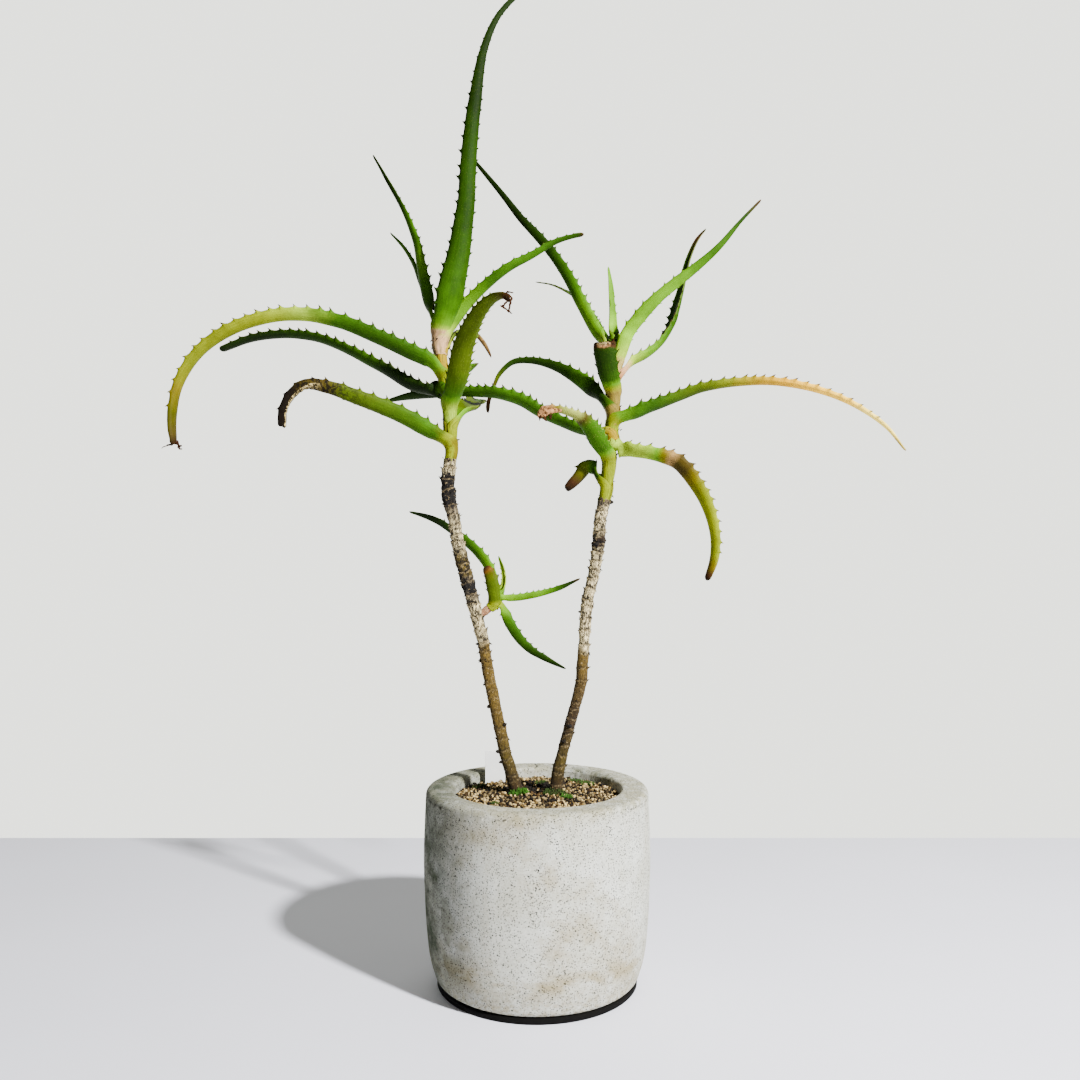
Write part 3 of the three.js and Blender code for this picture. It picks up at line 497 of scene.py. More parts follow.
# Stem lines as x, y, z and radius, from the foot in the soil to the top of the core
stems = {
    "left": {"barkTop": 372.3, "line": [
        (-5.5, 0, 92, 4.4), (-9.5, 0, 116, 5.2), (-15.4, 0, 137, 5.1), (-19.2, 0, 149.6, 4.7),
        (-22.9, 0, 162, 4.5), (-27.9, 0, 185, 4.4), (-32.9, 0, 208, 4.5), (-37, 0, 231, 4.3),
        (-38.9, 0, 243, 4.4), (-42.5, 0, 257, 4.6), (-50.1, 0, 286, 4.8), (-54.1, 0, 300, 5),
        (-57.2, 0, 314, 4.6), (-59.4, 0, 329, 4.5), (-63, 0, 343, 4.8), (-64.2, 0, 357, 5.2),
        (-62.4, 0, 372, 4.6), (-62, 0, 386, 5), (-62, 0, 400, 5), (-63.4, 0, 415, 5),
        (-66, 0, 429, 5), (-68.6, 0, 443, 5), (-70.2, 0, 457, 5), (-69.2, 1, 474, 5)]},
    "right": {"barkTop": 345.6, "line": [
        (5, 0, 92, 4.2), (9, 0, 116, 4.6), (13.6, 0, 137, 4.8), (15.3, 0, 149.6, 4.8),
        (18, 0, 162, 4.2), (24.2, 0, 185, 4.1), (28.5, 0, 200, 4.1), (31.6, 0, 214, 4.5),
        (33, 0, 232, 4.3), (33.6, 0, 243, 4.1), (34.7, 0, 260, 4.4), (35.8, 0, 271, 4.5),
        (38.7, 0, 282, 4.1), (42.2, 0, 300, 4.4), (44.3, 0, 314, 4.8), (45, 0, 329, 4.5),
        (48.1, 0, 343, 4.7), (50.4, 0, 361, 4.8), (52.2, 0, 379, 5), (54.3, 0, 393, 5),
        (54.3, 0, 414, 5), (55.4, 0, 429, 5), (56.4, 0, 443, 5), (55.2, 0, 460, 5)]},
    "shoot": {"barkTop": 266.8, "line": [
        (-44, 0, 257, 3), (-39, 1.5, 262, 3.1), (-33, 3.5, 266.5, 3.1), (-29.5, 5, 270.5, 3),
        (-27.6, 5.8, 276.5, 3)]},
}
barkSettings = {
    "sides": 44, "rowStep": 0.5, "scarSpacing": (4.5, 10.5), "ridge": (0.45, 1.25), "groove": 0.4,
    "flare": 0.45, "lump": 0.4, "grain": 0.22, "crack": 0.45, "whitish": (228, 248), "shaggy": 1.6,
    "foot": 118, "core": (3.1, 2.2), "shootCore": (2.4, 1.8), "shootSize": 0.5, "shootSpacing": 0.55,
    "scarWidth": 0.42, "grooveBelow": 0.95, "grooveWidth": 0.5, "inset": 0.25, "shootYoung": 0.85,
    "flakes": 9, "flakesFrom": 150, "seed": 11,
}
# stretches where the bark is dark, thick and torn
shaggyZones = {"left": [(337, 361), (270, 287)], "right": [(306, 317)], "shoot": []}
# the old stem's colour by its height: brown below, whitish above, with dark ragged bands
barkTones = {
    "left": [(137, "barkBrown"), (158, "barkOlive"), (190, "barkTan"), (238, "barkTan"), (246, "barkWhite"),
             (268, "barkWhite"), (274, "barkGrey"), (277, "barkDark"), (284, "barkDark"),
             (287, "barkGrey"), (291, "barkOlive"), (302, "barkOlive"), (308, "barkWhite"),
             (328, "barkWhite"), (336, "barkGrey"),
             (339, "barkDark"), (361, "barkDark"), (363, "barkWhite"), (369, "barkWhite"),
             (372, "barkBrown"), (375, "tan")],
    "right": [(137, "barkBrown"), (156, "barkOlive"), (184, "barkBrown"), (232, "barkTan"),
              (238, "barkWhite"), (304, "barkWhite"), (310, "barkBrown"), (313, "barkDark"),
              (317, "barkBrown"), (322, "barkWhite"), (335, "barkWhite"), (341, "barkGrey"),
              (345, "barkBrown"), (349, "tan")],
}
# dark knobs as stem, height, angle round the stem in degrees, size in millimetres
knobs = [("left", 195, 185, 1.5), ("left", 211, 200, 1.1), ("left", 182.7, 330, 1.7),
         ("left", 163, 190, 1.8), ("left", 155.5, 195, 1.6), ("left", 240, 190, 1.2),
         ("right", 182, 265, 1.7), ("right", 171, 250, 1.6),
         ("right", 311.5, 250, 2.0), ("right", 341.5, 350, 1.8), ("right", 263, 185, 1.2)]


def stemOf(leafName):
    return leafName.split("_")[0]


def stemPoint(stem, height):
    # centre and radius of a stem at a height
    line = stems[stem]["line"]
    step = 0
    while step < len(line) - 2 and line[step + 1][2] < height:
        step += 1
    low, high = line[step], line[step + 1]
    share = (height - low[2]) / (high[2] - low[2])
    values = [lerp(a, b, share) for a, b in zip(low, high)]
    return Vector(values[:3]), values[3]


def stemDirection(stem, height):
    return (stemPoint(stem, height + 3)[0] - stemPoint(stem, height - 3)[0]).normalized()


def barkFinish(name, stops):
    finish = Finish(name, 0.88, 0.25)
    place = finish.place()
    ragged = finish.ranged(finish.noise(place, 210, 5, 0.65), 0, 1, -0.009, 0.009)
    height = finish.plus(finish.component(place), ragged)
    low, high = stops[0][0] * mm, stops[-1][0] * mm
    spread = [((z * mm - low) / (high - low), tone) for z, tone in stops]
    base = finish.ramp(finish.ranged(height, low, high), spread)
    # weathered patches, then fine dark cracks that run up the stem
    old = finish.ranged(finish.component(place), 0.228, 0.246, 0.3, 1.0)
    for scale, least, most in ((230, 0.05, 1.75), (90, 0.35, 1.4)):
        weather = finish.minus(finish.noise(place, scale, 6, 0.72), 0.5)
        weather = finish.plus(finish.times(weather, old), 0.5)
        base = finish.shaded(base, weather, least, most)
    cracks = finish.ranged(finish.noise(finish.place((1, 1, 0.22)), 1500, 4, 0.7), 0.5, 0.6, 0, 0.95)
    base = finish.mix(finish.times(cracks, old), base, "barkDark")
    flaked = finish.ranged(finish.noise(finish.place((1, 1, 0.6)), 430, 5, 0.72), 0.505, 0.545, 0, 0.93)
    base = finish.mix(finish.times(flaked, old), base, "barkDark")
    specks = finish.ranged(finish.noise(place, 900, 4, 0.75), 0.58, 0.66, 0, 0.95)
    base = finish.mix(specks, base, "barkDark")
    pale = finish.ranged(finish.noise(finish.place((1, 1, 1.6)), 420, 3, 0.6), 0.6, 0.68, 0, 0.45)
    base = finish.mix(pale, base, "scarPale")
    # painted shadow under the scars, and the dark colour of the shreds and knobs
    base = finish.mix(finish.attribute("scarShadowAndFray"), base, "barkDark")
    base = finish.mix(finish.times(finish.attribute("scar"), 0.6), base, "scarPale")
    base = finish.mix(finish.attribute("young"), base, "barkYoung")
    fine = finish.noise(finish.place((1, 1, 0.4)), 1300, 5, 0.7)
    finish.bumped(finish.minus(fine, cracks), 0.7, 0.0008)
    return finish.done(finish.shaded(base, fine, 0.7, 1.2))


def barkRings(stem, rng):
    settings = barkSettings
    top = stems[stem]["barkTop"]
    isShoot = stem == "shoot"
    foot = stems[stem]["line"][0][2] if isShoot else settings["foot"]
    spacing = settings["shootSpacing"] if isShoot else 1
    scars = [foot]
    while scars[-1] < top:
        scars.append(scars[-1] + rng.uniform(*settings["scarSpacing"]) * spacing)
    ridges = [rng.uniform(*settings["ridge"]) for _ in scars]
    tilts = [(rng.uniform(0, 6.28), rng.uniform(0.3, 1.8)) for _ in scars]
    size = settings["shootSize"] if isShoot else 1.0
    rings, scarring, scarShadows = [], [], []
    rows = int((top - foot) / settings["rowStep"])
    whitishFrom, whitishTo = settings["whitish"]
    for row in range(rows + 1):
        height = lerp(foot, top, row / rows)
        centre, radius = stemPoint(stem, height)
        along = stemDirection(stem, height)
        side = (Vector((1, 0, 0)) - along * along.x).normalized()
        other = along.cross(side)
        number = max(1, bisect.bisect(scars, height))
        gap = scars[min(number, len(scars) - 1)] - scars[number - 1] or 1
        old = lerp(0.35, 1, eased((height - whitishFrom) / (whitishTo - whitishFrom)))
        shaggy = max([eased(1 - abs(height - (a + b) / 2) / (b - a)) for a, b in shaggyZones[stem]] or [0])
        ring, scarRow, scarShadowRow = [], [], []
        for k in range(settings["sides"]):
            turn = 2 * math.pi * k / settings["sides"]
            out = side * math.cos(turn) + other * math.sin(turn)
            swell, edge, shadow = 0.0, 0.0, 0.0
            for j in (number - 1, number):
                if j >= len(scars):
                    continue
                phase, tilt = tilts[j]
                ripple = noise.noise(out * 2.2 + Vector((0, 0, j * 3.7)))
                away = height - (scars[j] + tilt * math.sin(turn + phase) + 1.6 * ripple)
                ragged = clamped(0.5 + 1.2 * noise.noise(out * 5 + Vector((0, 0, j * 7.1))))
                rim = ragged * math.exp(-(away / settings["scarWidth"]) ** 2)
                below = (away - settings["grooveBelow"]) / settings["grooveWidth"]
                edge = max(edge, rim)
                # painted shadow under each scar's torn edge
                shadow = max(shadow, math.exp(-((away - 1) / 0.85) ** 2) * (0.3 + 0.9 * ragged))
                swell += ridges[j] * old * rim
                swell -= settings["groove"] * old * math.exp(-below ** 2)
            swell += settings["flare"] * old * clamped((height - scars[number - 1]) / gap) ** 3
            spot = centre + out * radius
            crack = max(0.0, noise.noise(Vector((out.x * 7, out.y * 7, height / 7))))
            swell -= settings["crack"] * old * crack
            swell += settings["lump"] * noise.noise(spot / 8) + settings["grain"] * noise.noise(spot / 0.9)
            swell += settings["shaggy"] * shaggy * noise.noise(Vector((spot.x, spot.y, spot.z * 0.7)) / 2.6)
            ring.append((centre + out * (radius - settings["inset"] + swell * size)) * mm)
            scarRow.append(clamped(edge * lerp(0.3, 1, old)))
            scarShadowRow.append(clamped(shadow * lerp(0.35, 1, old)))
        rings.append(ring)
        scarring.append(scarRow)
        scarShadows.append(scarShadowRow)
    addCore(stem, rings, scarring, scarShadows)
    return rings, scarring, scarShadows, scars


def addCore(stem, rings, scarring, scarShadows):
    # the slim stem inside the leaf bases ends in a blunt growing point
    sides = barkSettings["sides"]
    bottom, top = stems[stem]["barkTop"], stems[stem]["line"][-1][2]
    start, end = barkSettings["shootCore" if stem == "shoot" else "core"]
    for height, share in ((0.01, 1), (0.5, 1), (0.9, 1), (0.97, 0.8), (1.0, 0.3)):
        level = lerp(bottom, top, height)
        centre, _ = stemPoint(stem, level)
        radius = lerp(start, end, height) * share
        rings.append([(centre + Vector((x, y, 0)) * radius) * mm for x, y in ringSpots(1, sides)])
        scarring.append([0.0] * sides)
        scarShadows.append([0.0] * sides)


def onStem(stem, height, degrees, beyond=0.0):
    # a point on the bark, and the way out from it
    centre, radius = stemPoint(stem, height)
    turn = math.radians(degrees)
    out = Vector((math.cos(turn), math.sin(turn), 0))
    return centre + out * (radius + beyond), out


def addFlakes(bm, stem, scars, rng):
    # papery shreds of old leaf bases that stand off the scars, and the thorns on the leaf bases
    scarShadowAndFray = bm.verts.layers.float["scarShadowAndFray"]
    rims = [(leaf["sheath"][0], leaf["radius"][1]) for name, leaf in leaves.items() if stemOf(name) == stem]
    lowest, highest = barkSettings["flakesFrom"], stems[stem]["barkTop"] - 0.5
    places = [(height, None) for height in scars[1:] if lowest < height < highest]
    for height, radius in places + rims:
        whitish = height > 225
        if radius:
            count = rng.randint(3, 5)
        else:
            count = barkSettings["flakes"] if whitish else rng.randint(0, 2)
        for _ in range(count):
            degrees = rng.uniform(0, 360)
            spot, out = onStem(stem, height + rng.uniform(-0.8, 0.8), degrees, -0.3)
            if radius:
                spot = stemPoint(stem, height)[0] + out * (radius - 0.4)
            lean = up * rng.uniform(0.2, 1.2) * rng.choice((1, 1, -1)) + out * rng.uniform(0.5, 1.0)
            lean.normalize()
            length = rng.uniform(0.9, 2.9)
            turn = lean.to_track_quat("Z", "Y").to_matrix().to_4x4()
            flat = Matrix.Diagonal((rng.uniform(0.45, 1.0), 0.25, 1, 1))
            aside = Matrix.Rotation(math.radians(degrees) - math.pi / 2, 4, "Z")
            where = Matrix.Translation((spot + lean * length * 0.4) * mm) @ turn @ aside @ flat
            wide = (0.8 if radius else 1.2) * mm
            made = bmesh.ops.create_cone(bm, cap_ends=True, segments=6, radius1=wide, radius2=0.2 * mm,
                                         depth=length * mm, matrix=where)["verts"]
            dark = 0.9 if radius else rng.choice((0.1, 0.5, 0.9))
            for vert in made:
                vert[scarShadowAndFray] = dark


def makeStem(name, stem, node, *others):
    rng = random.Random(barkSettings["seed"] + len(stem))
    bm = bmesh.new()
    for part in (stem, *others):
        rings, scarring, scarShadows, scars = barkRings(part, rng)
        fresh = barkSettings["shootYoung"] if part == "shoot" else 0.0
        young = [[fresh] * barkSettings["sides"]] * len(rings)
        addTube(bm, rings, {"scar": scarring, "scarShadowAndFray": scarShadows, "young": young})
        if part == stem:
            addFlakes(bm, part, scars, rng)
    scarShadowAndFray = bm.verts.layers.float["scarShadowAndFray"]
    for owner, height, degrees, size in knobs:
        if owner != stem:
            continue
        spot, out = onStem(stem, height, degrees, 0.2 * size)
        where = Matrix.Translation(spot * mm) @ Matrix.Diagonal((1, 1, 0.8, 1))
        made = bmesh.ops.create_icosphere(bm, subdivisions=2, radius=size * mm, matrix=where)["verts"]
        for vert in made:
            vert.co += (vert.co - spot * mm) * 0.5 * noise.noise(vert.co / mm * 0.9)
            vert[scarShadowAndFray] = 0.9
    showPiece(bm, name, barkFinish(name + "_tones", barkTones[stem]), "bark", node)


# Soil, its grains and moss
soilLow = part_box("soil")[0]
soilSettings = {
    "radius": 59.35, "columns": 96, "rings": 29, "foot": 56.9, "wall": [(58.6, 90), (59.35, 128)],
    "edge": 131.4, "mound": 2.4, "rough": 0.9, "lowered": 0.8, "seed": 21,
    "spacing": 2.35, "rowSpacing": 0.87, "strewn": 0.35, "grain": (0.9, 2.9), "grainOften": 1.9,
    "layers": (0.9, 0.24), "lift": (0.2, 0.45), "cube": 0.86, "chamfer": 24, "jitter": 0.16,
    "stemShadePlace": (-5, 12), "stemShadeSpread": 480, "stemShadeDarker": 0.75, "tint": (0.62, 0.38),
}


def soilHeight(x, y):
    # top of the bed under the grains, in millimetres
    share = clamped(math.hypot(x, y) / soilSettings["radius"])
    bumps = soilSettings["rough"] * noise.noise(Vector((x, y, 3)) / 7)
    mound = soilSettings["mound"] * (1 - share * share)
    return soilSettings["edge"] + mound + bumps - soilSettings["lowered"]


def soilFinish():
    finish = Finish("soil_crumbs", 0.95, 0.2)
    place = finish.place()
    crumbs = finish.spots(place, 600)
    # dark crumbly soil, made near black as painted shade where it shows in the gaps between the grains
    base = finish.ramp(crumbs, [(0.0, "grainBrown"), (0.35, "grainDark"), (0.7, "darkSoilAndGapShade")])
    finish.bumped(crumbs, 0.8, 0.0015)
    return finish.done(finish.shaded(base, finish.noise(place, 250), 0.6, 1.3))


def grainFinish():
    finish = Finish("soil_grains", 0.92, 0.25)
    place = finish.place()
    base = finish.ramp(finish.attribute("shade"), [
        (0.0, "grainDark"), (0.2, "grainDark"), (0.4, "grainBrown"), (0.58, "grainTan"),
        (0.85, "grainPale")])
    fine = finish.noise(place, 1400, 4, 0.7)
    damp = finish.ranged(finish.noise(place, 75, 4), 0.45, 0.6, 0, 0.8)
    base = finish.mix(damp, base, "grainDark")
    finish.bumped(fine, 0.7, 0.0006)
    return finish.done(finish.shaded(base, fine, 0.7, 1.2))


def makeSoil():
    settings = soilSettings
    bottom = soilLow.z / mm
    columns, count = settings["columns"], settings["rings"]
    rings = []
    for radius, height in ((0.4, bottom), (settings["foot"], bottom), *settings["wall"]):
        rings.append([Vector((x, y, height)) * mm for x, y in ringSpots(radius, columns)])
    for k in range(count):
        spots = ringSpots(settings["radius"] * (1 - k / count), columns)
        rings.append([Vector((x, y, soilHeight(x, y))) * mm for x, y in spots])
    bm = bmesh.new()
    addTube(bm, rings, {})
    showPiece(bm, "soil_bed", soilFinish(), "soil", "soil")


def clearOfPlant(x, y, margin):
    for stem in ("left", "right"):
        centre, radius = stemPoint(stem, 133)
        if math.hypot(x - centre.x, y - centre.y) < radius + margin:
            return False
    labelX, labelY = labelSettings["place"]
    return abs(x - labelX) > labelSettings["width"] / 2 + margin or abs(y - labelY) > 0.5 + margin


def makeGrains():
    settings = soilSettings
    rng = random.Random(settings["seed"])
    bm = bmesh.new()
    shade = bm.verts.layers.float.new("shade")
    step, strewn = settings["spacing"], settings["strewn"]
    count = int(settings["radius"] / step) + 1
    stemShadeX, stemShadeY = settings["stemShadePlace"]
    low, rise = settings["lift"]
    for layer, chance in enumerate(settings["layers"]):
        for row in range(-count, count + 1):
            for column in range(-count, count + 1):
                x = (column + 0.5 * (row % 2) + rng.uniform(-strewn, strewn)) * step
                y = row * step * settings["rowSpacing"] + rng.uniform(-strewn, strewn) * step
                size = rng.triangular(*settings["grain"], settings["grainOften"])
                inside = math.hypot(x, y) <= settings["radius"] - 0.5 * size
                if not inside or not clearOfPlant(x, y, 0.4 * size):
                    continue
                if rng.random() > chance:
                    continue
                angle = rng.uniform(0, 6.28)
                turn = Matrix.Rotation(angle, 4, (rng.uniform(-1, 1), rng.uniform(-1, 1), 1))
                scale = Matrix.Diagonal((1, rng.uniform(0.7, 1.05), rng.uniform(0.6, 0.9), 1))
                lie = soilHeight(x, y) + size * (low + rise * layer)
                where = Matrix.Translation(Vector((x, y, lie)) * mm) @ turn @ scale
                made = bmesh.ops.create_cube(bm, size=size * settings["cube"] * mm, matrix=where)["verts"]
                # painted shade of the stems: grains behind and between them are made darker
                stemShade = math.exp(-((x - stemShadeX) ** 2 + (y - stemShadeY) ** 2) / settings["stemShadeSpread"])
                tint = clamped(rng.gauss(*settings["tint"]) - settings["stemShadeDarker"] * stemShade)
                for vert in made:
                    vert[shade] = tint
                    shake = Vector([rng.uniform(-1, 1) for _ in range(3)])
                    vert.co += shake * size * settings["jitter"] * mm
    bmesh.ops.bevel(bm, geom=bm.edges[:], offset=settings["chamfer"], offset_type="PERCENT", segments=1,
                    profile=0.5, affect="EDGES", material=-1)
    grains = showPiece(bm, "soil_grains", grainFinish(), "soil")
    grains.data.shade_flat()


# moss clumps as x, y, size, number of shoots, how fresh they are, and the height of the cushion
mossClumps = [(-14, -3, 6.5, 250, 0.45, 5), (-10, -5, 4, 90, 0.6, 3), (12, -3, 8, 260, 0.05, 4.5),
              (20.5, -13, 4.5, 70, 0.45, 0.5), (36, 30, 7, 90, 0.2, 0.5), (28, 40, 6, 70, 0.15, 0.5),
              (-43, 22, 5, 40, 0.1, 0), (-30, -30, 3, 20, 0.2, 0), (2, 30, 5, 40, 0.1, 0)]
mossSettings = {"lean": 0.7, "length": (1.2, 2.6), "lift": 1.0, "foot": 0.42, "tip": 0.05, "varied": 0.3,
                "seed": 33}


def makeMoss():
    settings = mossSettings
    rng = random.Random(settings["seed"])
    leaning, varied = settings["lean"], settings["varied"]
    bm = bmesh.new()
    shade = bm.verts.layers.float.new("shade")
    for x, y, size, count, fresh, cushion in mossClumps:
        for _ in range(count):
            away, turn = size * math.sqrt(rng.random()), rng.uniform(0, 6.28)
            px, py = x + away * math.cos(turn), y + away * math.sin(turn)
            if not clearOfPlant(px, py, 0.2):
                continue
            lean = Vector((rng.uniform(-leaning, leaning), rng.uniform(-leaning, leaning), 1)).normalized()
            length = rng.uniform(*settings["length"])
            level = soilHeight(px, py) + settings["lift"] + cushion * (1 - away / size)
            where = Matrix.Translation((Vector((px, py, level)) + lean * length / 2) * mm)
            where = where @ lean.to_track_quat("Z", "Y").to_matrix().to_4x4()
            made = bmesh.ops.create_cone(bm, cap_ends=True, segments=4, radius1=settings["foot"] * mm,
                                         radius2=settings["tip"] * mm, depth=length * mm, matrix=where)
            for vert in made["verts"]:
                vert[shade] = clamped(fresh + rng.uniform(-varied, varied))
    finish = Finish("moss", 0.8, 0.3)
    base = finish.ramp(finish.attribute("shade"), [(0.0, "mossDark"), (0.6, "mossGreen"), (1.0, "light")])
    fine = finish.noise(finish.place(), 1800)
    showPiece(bm, "moss_tufts", finish.done(finish.shaded(base, fine, 0.8, 1.2)), "soil")


# Plain white label
labelSettings = {"width": 15, "thickness": 1, "point": 9, "place": (-31.7, 37), "round": 0.8, "edge": 0.18}


def makeLabel():
    settings = labelSettings
    low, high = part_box("plant_label")
    half = settings["width"] / 2 * mm
    depth = settings["thickness"] / 2 * mm
    bm = bmesh.new()
    outline = [(-half, high.z), (-half, low.z + settings["point"] * mm), (0, low.z),
               (half, low.z + settings["point"] * mm), (half, high.z)]
    place = Vector((settings["place"][0] * mm, settings["place"][1] * mm, 0))
    face = bm.faces.new([bm.verts.new(place + Vector((x, depth, z))) for x, z in outline])
    grown = bmesh.ops.extrude_face_region(bm, geom=[face])["geom"]
    moved = [v for v in grown if isinstance(v, bmesh.types.BMVert)]
    bmesh.ops.translate(bm, verts=moved, vec=(0, -2 * depth, 0))
    corners = [e for e in bm.edges if abs(e.verts[0].co.y - e.verts[1].co.y) > depth]
    bmesh.ops.bevel(bm, geom=corners, offset=settings["round"] * mm, segments=4, profile=0.5,
                    affect="EDGES", material=-1)
    rims = [e for e in bm.edges if e.calc_face_angle(0) > 0.6]
    bmesh.ops.bevel(bm, geom=rims, offset=settings["edge"] * mm, segments=2, profile=0.5,
                    affect="EDGES", material=-1)
    finish = Finish("label_plastic", 0.42)
    grime = finish.noise(finish.place(), 140, 5, 0.6)
    base = finish.shaded("labelWhite", grime, 0.93, 1.03)
    finish.bumped(finish.noise(finish.place(), 900), 0.1, 0.0003)
    label = showPiece(bm, "white_plant_label", finish.done(base), "white_label", "plant_label")
    label.data.shade_flat()


